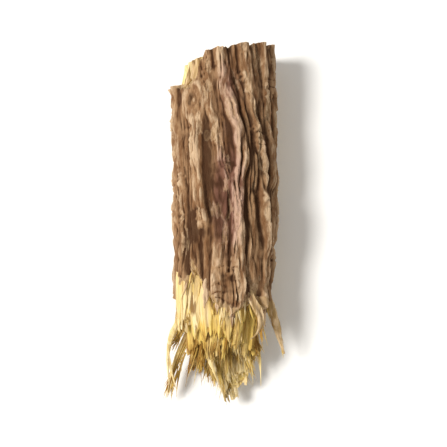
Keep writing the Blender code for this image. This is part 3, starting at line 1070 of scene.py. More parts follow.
def wood_look(graph, point):
    """Colour and height of bare wood from its grain, vessels, rays and growth rings.

    The tint attribute makes a bundle of fibre creamier above 0 and deeper below it.
    For the cores, the low blocks and the torn end's darker patches the deeper tone is painted shade.
    """
    along, away = grain_coordinates(graph, point)
    streak = graph.noise(along, (3.0, 0.16, 3.0), detail=4.0)
    thread = graph.noise(along, (10.0, 0.36, 10.0), detail=3.0)
    broad = graph.noise(point, (0.55, 0.09, 0.55), detail=2.0)
    ray = graph.noise(along, (1.9, 0.03, 1.9), detail=1.0)
    ring = graph.noise(graph.join(away, 0.0, broad * 1.5), (1.9, 1.0, 1.0), detail=2.0)
    tone = graph.mix(streak.rise(0.32, 0.66), WOOD_DEEP, WOOD_PALE)
    tone = graph.mix(thread.rise(0.36, 0.72) * 0.5, tone, WOOD_MID)
    tone = graph.mix(ray.rise(0.50, 0.68) * 0.45, tone, WOOD_PALE)
    tone = graph.mix(broad.rise(0.40, 0.7) * 0.25, tone, WOOD_CREAM)
    tone = graph.mix(ring.rise(0.50, 0.64) * 0.30, tone, WOOD_MID)
    pith = 1.0 - (away + (broad - 0.5) * 0.6).rise(0.2 * PITH_SIZE, PITH_SIZE)
    tone = graph.mix(pith * 0.9, tone, WOOD_MID)
    cells = {"Vector": graph.stretch(point, VESSEL_CELL), "Scale": 1.0}
    vessel = graph.add("ShaderNodeTexVoronoi", {}, cells)
    tone = graph.mix((1.0 - vessel.rise(0.10, 0.24)) * 0.6, tone, WOOD_VESSEL)
    tint = graph.value("tint")
    grained = (thread * 0.6 + streak * 0.4).rise(0.40, 0.62) * 0.75
    cream = graph.mix(grained, WOOD_CREAM, WOOD_CREAM_DEEP)
    tone = graph.mix(tint.rise(0.0, 1.3) * 0.8, tone, cream)
    # Below 0 the tint deepens the wood, which for cores, low blocks and the torn end's darker
    # patches is painted shade
    tone = graph.mix((1.0 - tint.rise(-1.6, 0.0)) * 0.85, tone, WOOD_DEEP)
    return tone, streak * 0.6 + thread * 0.5


print("wood tones:", WOOD_DEEP, WOOD_MID, WOOD_PALE)

# %% Bark colours
# The darkest cork tone is for the furrows and creases: dirt and painted shade
CORK_DIRT_AND_SHADE = (0.050, 0.019, 0.007)
CORK_BROWN = (0.200, 0.096, 0.041)
CORK_PURPLE = (0.152, 0.062, 0.045)
CORK_ROSE = (0.490, 0.300, 0.225)
CORK_TAN = (0.385, 0.230, 0.118)
# The pale cork tone serves bark under lost cork, and the crests, where it is partly painted
# highlight
CORK_RUBBED_AND_HIGHLIT = (0.585, 0.415, 0.260)
UNDER_CORK = (0.290, 0.165, 0.078)
INNER_BARK = (0.420, 0.272, 0.110)
INNER_BARK_PALE = (0.690, 0.510, 0.300)
INNER_BARK_BROWN = (0.300, 0.172, 0.078)
CAMBIUM = (0.21, 0.110, 0.030)
# Depths over which one layer gives way to the next
CORK_TO_INNER = (0.09, 0.17)
INNER_TO_CAMBIUM = (0.66, 0.80)
CAMBIUM_TO_WOOD = (0.84, 0.96)
CORK_TO_BARE = (0.10, 0.20)
CORK_ROUGHNESS = 0.88
BARE_SMOOTHER = 0.16
ROOT_SHINE = 0.15
ROUGH_HEIGHT = 0.18


def cork_look(graph, point):
    """Colour of the bark's outside: pale on the crests, partly worn and partly painted highlight;
    dark in the furrows, with dirt and painted shade, and in the creases, with painted shade; flaked
    in patches.
    """
    crest = graph.value("crest")
    mottle = graph.noise(point, (1.7, 0.5, 1.7), detail=5.0, roughness=0.62)
    fleck = graph.noise(point, (7.0, 2.4, 7.0), detail=4.0, roughness=0.68)
    thread = graph.noise(point, (9.0, 0.7, 9.0), detail=3.0, roughness=0.6)
    purple = (graph.value("rose") + (mottle - 0.5) * 0.9).rise(0.22, 0.70)
    tone = graph.mix(mottle.rise(0.34, 0.66), CORK_BROWN, CORK_TAN)
    tone = graph.mix(purple * 0.85, tone, CORK_PURPLE)
    pale = graph.mix(purple * 0.8, CORK_RUBBED_AND_HIGHLIT, CORK_ROSE)
    under = graph.mix(fleck.rise(0.35, 0.65), UNDER_CORK, pale)
    tone = graph.mix(graph.value("lost") * 0.75, tone, under)
    # Raised crests go pale: partly worn, partly painted highlight
    worn_and_highlit = (crest + (fleck - 0.5) * 0.55 + (mottle - 0.5) * 0.45).rise(0.04, 0.52)
    tone = graph.mix(worn_and_highlit, tone, pale)
    tone = graph.mix(thread.rise(0.52, 0.70) * 0.45, tone, CORK_BROWN)
    # Furrows go dark with dirt and painted shade, and creases go dark with painted shade
    sunk = 1.0 - (crest + (fleck - 0.5) * 0.2).rise(-0.34, 0.0)
    crease_shade = (graph.value("crease") + (fleck - 0.5) * 0.06).rise(0.015, 0.075)
    tone = graph.mix(crease_shade * 0.62, tone, CORK_DIRT_AND_SHADE)
    return graph.mix(sunk * 0.9, tone, CORK_DIRT_AND_SHADE), fleck * 0.6 + thread * 0.4


def root_finish():
    """Finish of the body by its depth attribute: cork, inner bark, brown cambium, then wood."""
    graph = Graph("licorice_root_finish")
    point = graph.place()
    wood, grain = wood_look(graph, point)
    cork, cork_height = cork_look(graph, point)
    ragged = (graph.noise(point, (5.0, 1.2, 5.0), detail=3.0) - 0.5) * 0.12
    depth = graph.value("depth") + ragged
    bast = graph.noise(grain_coordinates(graph, point)[0], (5.0, 0.5, 5.0), detail=3.0)
    inner = graph.mix(bast.rise(0.36, 0.64), INNER_BARK, INNER_BARK_PALE)
    inner = graph.mix((1.0 - depth.rise(0.15, 0.55)) * 0.55, inner, INNER_BARK_BROWN)
    tone = graph.mix(depth.rise(*CORK_TO_INNER), cork, inner)
    tone = graph.mix(depth.rise(*INNER_TO_CAMBIUM) * 0.8, tone, CAMBIUM)
    tone = graph.mix(depth.rise(*CAMBIUM_TO_WOOD), tone, wood)
    tone = graph.mix(graph.value("crack") * 0.85, tone, WOOD_VESSEL)
    bare = depth.rise(*CORK_TO_BARE)
    height = cork_height * (1.0 - bare) + grain * bare
    return graph.dress(tone, CORK_ROUGHNESS - bare * BARE_SMOOTHER, ROOT_SHINE, height, ROUGH_HEIGHT)


finish = root_finish()
print("nodes in the root's finish:", len(finish.node_tree.nodes))

# %% [markdown]
# ## The body
#
# The rings stand closer together at the torn end, where the edge of the bark
# steps down to the wood. Both ends are closed by rings that shrink towards the
# axis, so that the crosscut and the tear have relief of their own.

# %% Body grid
BARK_FROM = -101.0
BARK_TO = 84.0
UNDER_FROM = 137.5
UNDER_TO = 227.3
SIDES_OVER_BARK = 208
SIDES_ON_FLANK = 34
SIDES_UNDER = 24
FINE_RINGS_TO = -4.5
FINE_RINGS = 72
OTHER_RINGS = 182
CUT_RINGS = 30
TEAR_RINGS = 20
LAST_INWARD = 0.03


def body_angles():
    """Angles round the section, set closer together over the bark."""
    over = np.linspace(BARK_FROM, BARK_TO, SIDES_OVER_BARK, endpoint=False)
    right = np.linspace(BARK_TO, UNDER_FROM, SIDES_ON_FLANK, endpoint=False)
    under = np.linspace(UNDER_FROM, UNDER_TO, SIDES_UNDER, endpoint=False)
    left = np.linspace(UNDER_TO, BARK_FROM + 360.0, SIDES_ON_FLANK, endpoint=False)
    return np.concatenate([over, right, under, left])


def body_rings():
    """Place along Y and shrink towards the axis of every ring, from the tear to the cut."""
    tear = np.linspace(LAST_INWARD, 1.0, TEAR_RINGS, endpoint=False)
    cut = np.linspace(1.0, LAST_INWARD, CUT_RINGS + 1)[1:]
    fine = np.linspace(WOOD_STOP, FINE_RINGS_TO, FINE_RINGS, endpoint=False)
    other = np.linspace(FINE_RINGS_TO, CUT_END, OTHER_RINGS)
    y = np.concatenate([np.full(TEAR_RINGS, WOOD_STOP), fine, other, np.full(CUT_RINGS, CUT_END)])
    inward = np.concatenate([tear, np.ones(FINE_RINGS + OTHER_RINGS), cut])
    return y[:, None], inward[:, None]


print("rings and sides of the body:", len(body_rings()[0]), len(body_angles()))

# %% Body mesh
CREASE_PASSES = 4
NEAR_PASSES = 14
NEAR_CREST = 1.5
WIDE_PASSES = 160
CUT_SHADE = 0.45


def soften(grid, passes):
    """A grid averaged with its neighbours again and again, wrapping round the root."""
    for step in range(passes):
        grid = 0.5 * grid + 0.25 * (np.roll(grid, 1, axis=1) + np.roll(grid, -1, axis=1))
        grid = even_out(grid)
    return grid


def body():
    """The barked and split wood as one closed skin.

    Crest is how far a point stands above its surroundings, near and wide: it is
    what rubs pale on a real root, and the furrows are what stay dark. The pale
    crests are partly painted highlight, and the dark furrows partly painted shade.
    """
    y, inward = body_rings()
    angle, y = np.meshgrid(body_angles(), y[:, 0])
    points, values = body_points(angle, y, inward * np.ones_like(y))
    relief = values.pop("relief")
    near, wide = soften(relief, NEAR_PASSES), soften(relief, WIDE_PASSES)
    on_cut = (inward < 1.0) & (y > 0.0)
    # The crest takes in the stain patches, whose darker ones are partly painted shadow and shade
    crest = NEAR_CREST * (relief - near) + relief - wide + patch(STAIN_AND_SHADOW_PATCHES, angle, y)
    values["crest"] = crest + scar_tone(angle, y) - CUT_SHADE * on_cut
    # Crease is how far a point lies below its near neighbours; the finish paints shade into it
    values["crease"] = soften(relief, CREASE_PASSES) - relief
    values = {key: tube_values(value[None]) for key, value in values.items()}
    return make_mesh("root_body", *tubes(points[None]), finish, values)


root_body = body()
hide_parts(NODE)
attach(root_body, "root")

# %% [markdown]
# ## Torn splinters
#
# Wood doesn't snap across: it pulls apart into bundles of fibre, and each bundle
# ends somewhere else. So each splinter of the solid model is drawn again, with
# the same random draws and so in the same place, as a slim core with a bundle of
# shards laid round it. A shard keeps its own place in the splinter's section
# from root to tip, so the bundle bends, twists and tapers as the splinter does.

# %% Slivers along paths
SLIVER_RINGS = 10
SLIVER_SIDES = 6
SIDE_SIZES = (0.6, 1.25)
RING_SIZES = (0.85, 1.12)
END_SLANT = 1.3
LOWEST = 0.05


def full_turn(sides):
    """Angles of a ring's points, in radians."""
    return np.linspace(0.0, 2.0 * np.pi, sides, endpoint=False)


def unit(vectors):
    """Rows of vectors, each made 1 long."""
    return vectors / np.linalg.norm(vectors, axis=1, keepdims=True)


def slivers(paths, width, taper, flatness, roll, rng):
    """Loops of many slivers at once, along paths that run towards +Y.

    Each ring is path + half width * taper * (sin t * side + flatness * cos t * up), where side
    and up are X and Z turned by roll. Every side and every ring has its own random size, and
    the ends are cut aslant. The arguments have one row for each sliver.
    """
    count, rings = paths.shape[:2]
    turn = full_turn(SLIVER_SIDES)
    size = 0.5 * width[:, None, None] * taper[:, :, None]
    size = size * rng.uniform(*SIDE_SIZES, (count, 1, SLIVER_SIDES))
    size = size * rng.uniform(*RING_SIZES, (count, rings, 1))
    across = size * np.sin(turn)
    over = size * np.cos(turn) * flatness[:, None, None]
    cosine, sine = np.cos(roll)[:, None, None], np.sin(roll)[:, None, None]
    slant = across * rng.uniform(-END_SLANT, END_SLANT, (count, 1, 1))
    ring = np.stack([across * cosine - over * sine, slant, across * sine + over * cosine], axis=-1)
    loops = paths[:, :, None] + ring
    loops[..., 2] = np.maximum(loops[..., 2], LOWEST)
    return loops


def pointed(ends, tip):
    """Taper of slivers whose place from root to tip is ends: full at first, then down to tip."""
    return 1.0 - (1.0 - tip) * smooth(0.45, 1.0, ends)


FROM_TIP = np.linspace(1.0, 0.0, SLIVER_RINGS)
print("points in one sliver:", SLIVER_RINGS * SLIVER_SIDES)


# %% Where the solid model's splinters lie
def thin_splinters(rng):
    """Places and sizes of the small splinters, as rows like the ones listed above."""
    rows = []
    for index in range(THIN_COUNT):
        out = THIN_SPREAD * np.sqrt((index + 0.5) / THIN_COUNT)
        turn = index * SPIRAL_TURN + 0.6
        x = out * np.sin(turn)
        z = max(THIN_CENTRE_Z + 0.8 * out * np.cos(turn), THIN_LOWEST)
        reach = rng.uniform(*THIN_REACH)
        lean_x, lean_z = rng.uniform(-THIN_LEAN, THIN_LEAN, 2) * reach
        tip = (x + lean_x, WOOD_STOP - reach, max(z + lean_z, THIN_LOWEST))
        width = THIN_WIDTH * rng.uniform(0.9, 1.3)
        rows.append((x, WOOD_STOP + THIN_SUNK, z, *tip, width, THIN_WIDTH))
    return rows


def splinter_draws(row, rng):
    """Bend, turn, twist, unevenness and chisel of a splinter, in the solid model's order."""
    length = np.linalg.norm(np.array(row[3:6]) - np.array(row[0:3]))
    bend = rng.uniform(-SPLINTER_BEND, SPLINTER_BEND, 2) * length * [1.0, 0.5]
    turn = rng.uniform(0.0, 2.0)
    twist = rng.uniform(-SPLINTER_TWIST, SPLINTER_TWIST)
    uneven = 1.0 + rng.uniform(-SPLINTER_UNEVEN, SPLINTER_UNEVEN, SPLINTER_SIDES)
    return bend, turn, twist, uneven, rng.uniform(-1.5, 1.5)


def splinter_section(row, draws, along):
    """Centre and corner offsets of a splinter's section, where along is 0 at root and 1 at tip."""
    root, tip, width, thickness = np.array(row[0:3]), np.array(row[3:6]), row[6], row[7]
    bend, start, twist, uneven, chisel = draws
    along = along[..., None]
    bow = np.sin(np.pi * along) * np.array([bend[0], 0.0, bend[1]])
    centre = root + (tip - root) * along + bow
    turn = full_turn(SPLINTER_SIDES) + start + along * twist
    blunt = smooth(SLIM_WIDTH, BLUNT_WIDTH, width)
    half_width = 0.5 * width * (1.0 - (0.75 - 0.45 * blunt) * along**2) * uneven
    half_thickness = 0.5 * thickness * (1.0 - (0.70 - 0.20 * blunt) * along**1.5) * uneven
    slant = SPLINTER_CHISEL * width * along**2 * np.sin(turn + chisel)
    corners = [half_width * np.sin(turn), slant, half_thickness * np.cos(turn)]
    return centre, np.stack(corners, axis=-1)


rng = np.random.default_rng(THIN_SEED)
small_rows = thin_splinters(rng)
splinter_rows = list(BLOCKS) + list(STRAYS) + small_rows
splinter_shapes = [(row, splinter_draws(row, rng)) for row in splinter_rows]
print("splinters placed:", len(splinter_shapes))

# %% Cores and shards
CORE_SIZE = 0.84
CORE_END = 0.90
SHARDS_PER_MM = 8.5
SHARD_REACH = (0.62, 1.03)
SHARD_OUT = (0.72, 0.86)
SHARD_WIDTH = (0.32, 0.78)
SHARD_FLATNESS = (0.30, 0.58)
SHARD_LEAN = 0.04
SHARD_ROLL = 0.22


def core(row, draws):
    """Loops of a splinter's core: the solid's own section, a little smaller and shorter."""
    centre, corners = splinter_section(row, draws, CORE_END * FROM_TIP)
    place = np.linspace(0.0, SPLINTER_SIDES, SLIVER_SIDES, endpoint=False)
    first = place.astype(int)
    share = (place - first)[:, None]
    outline = corners[:, first] * (1.0 - share) + corners[:, (first + 1) % SPLINTER_SIDES] * share
    return (centre[:, None] + CORE_SIZE * outline)[None]


def shards(row, draws, rng):
    """Loops of the flat shards round a splinter's core.

    A shard's path is the splinter's centre line plus its own fixed share of the section's
    outline, and a lean that grows with the square of the distance from the root. Its flat
    side turns the way that the section's edge does there.
    """
    count = int(round(SHARDS_PER_MM * (row[6] + row[7])))
    blunt = smooth(SLIM_WIDTH, BLUNT_WIDTH, row[6])
    least, most = SHARD_REACH
    along = rng.uniform(least + 0.24 * blunt, most, count)[:, None] * FROM_TIP
    centre, corners = splinter_section(row, draws, along)
    place = rng.uniform(0.0, SPLINTER_SIDES, count)
    first = place.astype(int)
    share = (place - first)[:, None, None]
    every = np.arange(count)
    near, far = corners[every, :, first], corners[every, :, (first + 1) % SPLINTER_SIDES]
    least, most = SHARD_OUT
    out = rng.uniform(least, most + 0.08 * blunt, count)[:, None, None]
    lean = rng.normal(0.0, SHARD_LEAN, (count, 1, 3)) * [1.0, 0.0, 1.0] * along[..., None] ** 2
    paths = centre + out * (near * (1.0 - share) + far * share) + lean * (0.5 + 0.5 * blunt)
    width = rng.uniform(*SHARD_WIDTH, count) * (0.36 + 0.24 * row[6])
    taper = np.tile(pointed(FROM_TIP, 0.20 + 0.28 * blunt), (count, 1))
    edge = (far - near).mean(axis=1)
    roll = np.arctan2(edge[:, 2], edge[:, 0]) + rng.normal(0.0, SHARD_ROLL, count)
    return slivers(paths, width, taper, rng.uniform(*SHARD_FLATNESS, count), roll, rng)


print("shards to a millimetre of splinter:", SHARDS_PER_MM)

# %% All the splinters together
SHARD_SEED = 11
SHARD_TINT = 0.65
# The cores are darkened by this much: painted shade in the gaps between the shards
CORE_PAINTED_SHADE = 1.1
# Tint of each block; the two low ones, third and fourth, are darkened as painted shade
BLOCK_TINTS_AND_SHADE = (0.35, 0.45, -0.70, -0.70, -0.30, 1.20, 0.45)
THIN_TINT = 0.4
STRAY_TINT = 0.5
# The last two strays are drawn as strips of bark, further down
BARK_STRAYS = (9, 10)


def split_splinters(rng):
    """Loops of all the cores and shards, and the tint of each: above 0 is creamier, below 0 deeper,
    which for the cores and the low blocks is painted shade.
    """
    loops = []
    tints = []
    for index, (row, draws) in enumerate(splinter_shapes):
        if index in BARK_STRAYS:
            continue
        bundle = shards(row, draws, rng)
        if index < len(BLOCKS):
            lean = BLOCK_TINTS_AND_SHADE[index]
        else:
            lean = rng.uniform(-THIN_TINT, THIN_TINT) + STRAY_TINT * (row in STRAYS)
        loops += [core(row, draws), bundle]
        tints.append([lean - CORE_PAINTED_SHADE])
        tints.append(lean + rng.uniform(-SHARD_TINT, SHARD_TINT, len(bundle)))
    return np.concatenate(loops), np.concatenate(tints)


splinter_loops, splinter_tints = split_splinters(np.random.default_rng(SHARD_SEED))
print("cores and shards:", len(splinter_loops))


# %% Splinter finish and mesh
WOOD_ROUGHNESS = 0.74
WOOD_SHINE = 0.2


def wood_finish():
    """Finish of bare splinters: the wood alone."""
    graph = Graph("licorice_wood_finish")
    tone, grain = wood_look(graph, graph.place())
    return graph.dress(tone, WOOD_ROUGHNESS, WOOD_SHINE, grain, ROUGH_HEIGHT)


def wood_mesh(name, loops, tints):
    """A mesh of wooden slivers. A point's tint is its sliver's, plus that of the torn patches, whose
    darker ones are painted shadow.
    """
    points, quads, fans = tubes(loops)
    tint = tube_values(np.broadcast_to(tints[:, None, None], loops.shape[:3]))
    tint = tint + patch(TORN_TONE_AND_SHADOW_PATCHES, points[:, 0], points[:, 1])
    return make_mesh(name, points, quads, fans, wood, {"tint": tint})


wood = wood_finish()
splinters = wood_mesh("torn_splinters", splinter_loops, splinter_tints)
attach(splinters, "root")

# %% [markdown]
# ## Fibres
#
# Licorice tears into long soft fibres. They are slivers too, only thinner and on
# bent paths. They grow from the torn end, from the outer part of each splinter
# and from under the edge of the bark, and a fringe as thin as hair carries on
# past the longer shards' tips. Others lie along the split flanks, where the wood
# came apart, and lift off at one end.

# %% Fibres along bent paths
SIDE_REACH = 5.3
FIBRE_TIP = 0.12
FIBRE_FLATNESS = (0.4, 0.7)
FIBRE_ROLL = 0.6
FIBRE_SEED = 23


def way_out(way_x, way_z):
    """Ways out of the torn end, towards -Y, that lean by way_x and way_z."""
    return np.stack([way_x, -np.ones_like(way_x), way_z], axis=-1)


def scatter(rng, spread, count, parts):
    """Random vectors, whose x, y and z are spread by spread times their parts."""
    return rng.normal(0.0, spread, (count, 3)) * parts


def fibres(start, way, length, width, bend, rng):
    """Loops of many fibres: start + way * s + bend * s * s / length, for s from 0 to length.

    A fibre is cut short where it would pass SIDE_REACH to either side.
    """
    way = unit(way)
    room = (SIDE_REACH - np.abs(start[:, 0])) / np.maximum(np.abs(way[:, 0] + bend[:, 0]), 0.02)
    length = np.minimum(length, np.maximum(room, 0.2))
    along = FROM_TIP[None, :, None]
    reach = length[:, None, None] * along
    paths = start[:, None] + way[:, None] * reach + bend[:, None] * reach * along
    count = len(start)
    taper = np.tile(pointed(FROM_TIP, FIBRE_TIP), (count, 1))
    flatness = rng.uniform(*FIBRE_FLATNESS, count)
    roll = rng.uniform(-FIBRE_ROLL, FIBRE_ROLL, count)
    return slivers(paths, width, taper, flatness, roll, rng)


print("fibres stay within, mm:", SIDE_REACH)

# %% Fibres of the torn end
TEAR_FIBRES = 70
TEAR_FIBRE_WIDTH = (0.08, 0.26)
TEAR_FIBRE_FAN = 0.06
TEAR_FIBRE_LEAN = (0.09, 0.07)
SHORTEST_TEAR_FIBRE = 1.8
# Shape and scale of the random gamma draws that lengthen a fibre
TEAR_FIBRE_MORE = (2.0, 0.8)
LONGEST_TEAR_FIBRE = 5.4
STUB_LEAN = 0.03
TEAR_STUBS = 110
STUB_WIDTH = (0.30, 0.60)
STUB_LENGTH = (1.8, 4.2)
STUB_SHORTER = 0.35
TEAR_SPREAD = 3.0
TEAR_RISE = 0.62
TEAR_SUNK = 1.5


def tear_starts(count, rng):
    """Places spread evenly over the torn face, inside the wood, and how far off its middle."""
    out = TEAR_SPREAD * np.sqrt(rng.uniform(0.0, 1.0, count))
    turn = rng.uniform(0.0, 2.0 * np.pi, count)
    z = np.maximum(AXIS_HEIGHT + TEAR_RISE * out * np.cos(turn), 0.3)
    return np.stack([out * np.sin(turn), np.full(count, WOOD_STOP + TEAR_SUNK), z], axis=-1), out


def tear_fibres(rng):
    """Fibres that stand out of the torn end of the wood."""
    count = TEAR_FIBRES
    start, _ = tear_starts(count, rng)
    way_x = TEAR_FIBRE_FAN * start[:, 0] + rng.normal(0.0, TEAR_FIBRE_LEAN[0], count)
    way = way_out(way_x, rng.normal(0.0, TEAR_FIBRE_LEAN[1], count))
    length = SHORTEST_TEAR_FIBRE + rng.gamma(*TEAR_FIBRE_MORE, count)
    length = np.minimum(length, LONGEST_TEAR_FIBRE)
    bend = scatter(rng, 0.10, count, [1.0, 0.2, 0.8])
    return fibres(start, way, length, rng.uniform(*TEAR_FIBRE_WIDTH, count), bend, rng)


def tear_stubs(rng):
    """Short broad shards that fill the torn end between the splinters, longest in the middle."""
    count = TEAR_STUBS
    start, out = tear_starts(count, rng)
    way_x = STUB_LEAN * start[:, 0] + rng.normal(0.0, STUB_LEAN, count)
    way = way_out(way_x, rng.normal(0.0, STUB_LEAN, count))
    length = rng.uniform(*STUB_LENGTH, count) - STUB_SHORTER * out
    return fibres(start, way, length, rng.uniform(*STUB_WIDTH, count), 0.0 * way, rng)


rng = np.random.default_rng(FIBRE_SEED)
stubs = tear_stubs(rng)
fibre_sets = [tear_fibres(rng), stubs]
print("fibres and stubs of the torn end:", TEAR_FIBRES, TEAR_STUBS)

# %% Fibres of the splinters' tips
TIP_FIBRES_EACH = 4
TIP_FIBRE_WIDTH = (0.07, 0.20)
FRINGE_EACH = 2
FRINGE_WIDTH = (0.05, 0.12)
FRINGE_LENGTH = (0.35, 0.95)
FRINGE_SPREAD = 0.16
FRINGE_SUNK = 0.4
SHORTEST_FRINGED = 1.5


def tip_fibres(rng):
    """Fibres that fray from the outer part of each splinter."""
    rows = np.repeat(np.array(splinter_rows), TIP_FIBRES_EACH, axis=0)
    count = len(rows)
    share = rng.uniform(0.45, 0.9, (count, 1))
    root, tip = rows[:, 0:3], rows[:, 3:6]
    aside = rng.uniform(-0.3, 0.3, (count, 3)) * rows[:, [6, 6, 7]] * [0.8, 0.0, 0.8]
    start = root + (tip - root) * share + aside * (1.2 - share)
    whole = np.linalg.norm(tip - root, axis=1)
    way = (tip - root) / whole[:, None] + scatter(rng, 0.06, count, [1.0, 0.0, 1.0])
    length = np.maximum(whole * (1.0 - share[:, 0]) + rng.uniform(-0.3, 0.3, count), 0.4)
    bend = scatter(rng, 0.06, count, [1.0, 0.1, 1.0])
    return fibres(start, way, length, rng.uniform(*TIP_FIBRE_WIDTH, count), bend, rng)


def fringe(loops, rng):
    """Hair-thin fibres that carry on a little way past the torn tips of the shards.

    A fibre starts inside the third ring from its shard's tip, and runs the way that the
    shard's end does.
    """
    inner, tip = loops[:, 2].mean(axis=1), loops[:, 0].mean(axis=1)
    whole = np.linalg.norm(loops[:, -1].mean(axis=1) - tip, axis=1)
    chosen = np.repeat(np.flatnonzero(whole > SHORTEST_FRINGED), FRINGE_EACH)
    count = len(chosen)
    corner = loops[chosen, 2, rng.integers(0, SLIVER_SIDES, count)]
    start = inner[chosen] + (corner - inner[chosen]) * rng.uniform(0.2, 0.8, (count, 1))
    way = (tip - inner)[chosen]
    run = np.linalg.norm(way, axis=1)
    way = way / run[:, None] + scatter(rng, FRINGE_SPREAD, count, [1.0, 0.0, 0.6])
    length = run + rng.uniform(*FRINGE_LENGTH, count) - FRINGE_SUNK
    bend = scatter(rng, 0.12, count, [1.0, 0.1, 1.0])
    return fibres(start, way, length, rng.uniform(*FRINGE_WIDTH, count), bend, rng)


fibre_sets += [tip_fibres(rng), fringe(np.concatenate([splinter_loops, stubs]), rng)]
print("fibres so far:", sum(len(part) for part in fibre_sets))

# %% Fibres under the bark's edge
EDGE_FIBRES = 60
EDGE_FIBRE_WIDTH = (0.08, 0.22)
EDGE_FIBRE_LENGTH = (1.2, 3.0)
EDGE_FIBRE_DEPTH = (0.45, 0.85)
EDGE_FIBRE_ANGLES = (-85.0, 80.0)
EDGE_FIBRE_BACK = 0.9
EDGE_FIBRE_LIFT = (-0.12, 0.10)
EDGE_FIBRE_LEAN = 0.08


def edge_fibres(rng):
    """Tan fibres that stick out from under the near edge of the bark."""
    count = EDGE_FIBRES
    angle = rng.uniform(*EDGE_FIBRE_ANGLES, count)
    turn = np.radians(angle)
    y = follow(BARK_NEAR_EDGE, angle) + EDGE_FIBRE_BACK
    reach = root_radius(angle, y) - rng.uniform(*EDGE_FIBRE_DEPTH, count)
    start = out_from_axis(angle, y, reach)
    lift = rng.uniform(*EDGE_FIBRE_LIFT, count)
    way_x = lift * np.sin(turn) + rng.normal(0.0, EDGE_FIBRE_LEAN, count)
    way = way_out(way_x, lift * np.cos(turn))
    bend = scatter(rng, 0.09, count, [1.0, 0.2, 0.6])
    length = rng.uniform(*EDGE_FIBRE_LENGTH, count)
    return fibres(start, way, length, rng.uniform(*EDGE_FIBRE_WIDTH, count), bend, rng)


fibre_sets.append(edge_fibres(rng))
print("fibres under the bark's edge:", EDGE_FIBRES)

# %% Slivers lying along the flanks
FLANK_SLIVERS = 190
FLANK_SLIVER_WIDTH = (0.14, 0.46)
FLANK_SLIVER_FLATNESS = (0.35, 0.6)
FLANK_SLIVER_ROLL = 0.3
FLANK_SLIVER_SWAY = 1.6
FLANK_SLIVER_SUNK = 0.02
SHORTEST_FLANK_SLIVER = 1.4
FLANK_SLIVER_MORE = (2.0, 1.5)
LONGEST_FLANK_SLIVER = 9.0
RIGHT_FLANK_SHARE = 0.62
RIGHT_FLANK = (86.0, 136.0)
LEFT_FLANK = (229.0, 257.0)
FLANK_SPAN = (-9.6, 15.0)
FLANK_PASSES = 3
PEEL = (0.0, 0.45)
FIBRE_TINTS = (-1.1, 1.1)


def flank_slivers(rng):
    """Slivers that hug the split flanks, half sunk, and peel off towards the torn end.

    The path keeps to the surface's own radius, evened out along its length. The lift is
    peel * (1 - s) cubed, with s from 0 at the end that peels.
    """
    count = FLANK_SLIVERS
    right = rng.uniform(0.0, 1.0, count) < RIGHT_FLANK_SHARE
    angle = np.where(right, rng.uniform(*RIGHT_FLANK, count), rng.uniform(*LEFT_FLANK, count))
    length = SHORTEST_FLANK_SLIVER + rng.gamma(*FLANK_SLIVER_MORE, count)
    length = np.minimum(length, LONGEST_FLANK_SLIVER)
    room = FLANK_SPAN[1] - FLANK_SPAN[0] - length
    low_y = FLANK_SPAN[0] + rng.uniform(0.0, 1.0, count) * room
    s = np.linspace(0.0, 1.0, SLIVER_RINGS)
    y = low_y[:, None] + length[:, None] * s
    angle = angle[:, None] + rng.normal(0.0, FLANK_SLIVER_SWAY, (count, 1)) * (s - 0.5)
    reach = surface(angle, y)[0]
    for step in range(FLANK_PASSES):
        reach = even_out(reach.T).T
    reach = reach - FLANK_SLIVER_SUNK + rng.uniform(*PEEL, (count, 1)) * (1.0 - s) ** 3
    paths = out_from_axis(angle, y, reach)
    taper = np.tile(smooth(-0.15, 0.35, s) * (1.0 - 0.8 * smooth(0.7, 1.0, s)), (count, 1))
    faces = np.where(right, RIGHT_FLANK_FACES, LEFT_FLANK_FACES)
    roll = -np.radians(faces) + rng.normal(0.0, FLANK_SLIVER_ROLL, count)
    width = rng.uniform(*FLANK_SLIVER_WIDTH, count)
    flatness = rng.uniform(*FLANK_SLIVER_FLATNESS, count)
    return slivers(paths, width, taper, flatness, roll, rng)


fibre_sets.append(flank_slivers(rng))
fibre_loops = np.concatenate(fibre_sets)
fibre_tints = rng.uniform(*FIBRE_TINTS, len(fibre_loops))
print("fibres:", len(fibre_loops))

# %% Fibre mesh
loose_fibres = wood_mesh("loose_fibres", fibre_loops, fibre_tints)
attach(loose_fibres, "root")

# %% [markdown]
# ## Strips of bark and of wood
#
# Where the root was torn, the bark let go in strips. Some hang from its edge,
# one has curled up at the right, and one sticks out on its own. Three pale ones
# at the left are of wood. A strip is a flat rounded bar carried along a curved
# route and turned about it as it goes, and it cups a little, as drying bark does.
# It wears the body's own finish: where the depth attribute of its outer face is
# 0 it is cork, and deeper ones are inner bark or wood.

# %% A strip along a route
STRIP_RINGS = 34
STRIP_POINTS = 36
STRIP_RAGGED = 0.34
STRIP_RIDGE = 0.13
STRIP_RIDGE_WIDTH = 0.15
STRIP_CUP = 0.16
STRIP_STREAK = 0.22
STRIP_DEEPER = 0.30
STRIP_CREST = 0.26
ROUTE_PASSES = 12


def route(points):
    """A smooth path by way of a few points: even steps on straight runs, averaged many times."""
    points = np.array(points, dtype=float)
    steps = np.concatenate([[0.0], np.cumsum(np.linalg.norm(np.diff(points, axis=0), axis=1))])
    even = np.linspace(0.0, steps[-1], STRIP_RINGS)
    path = np.stack([np.interp(even, steps, points[:, axis]) for axis in range(3)], axis=-1)
    for step in range(ROUTE_PASSES):
        path[1:-1] = even_out(path)[1:-1]
    return path


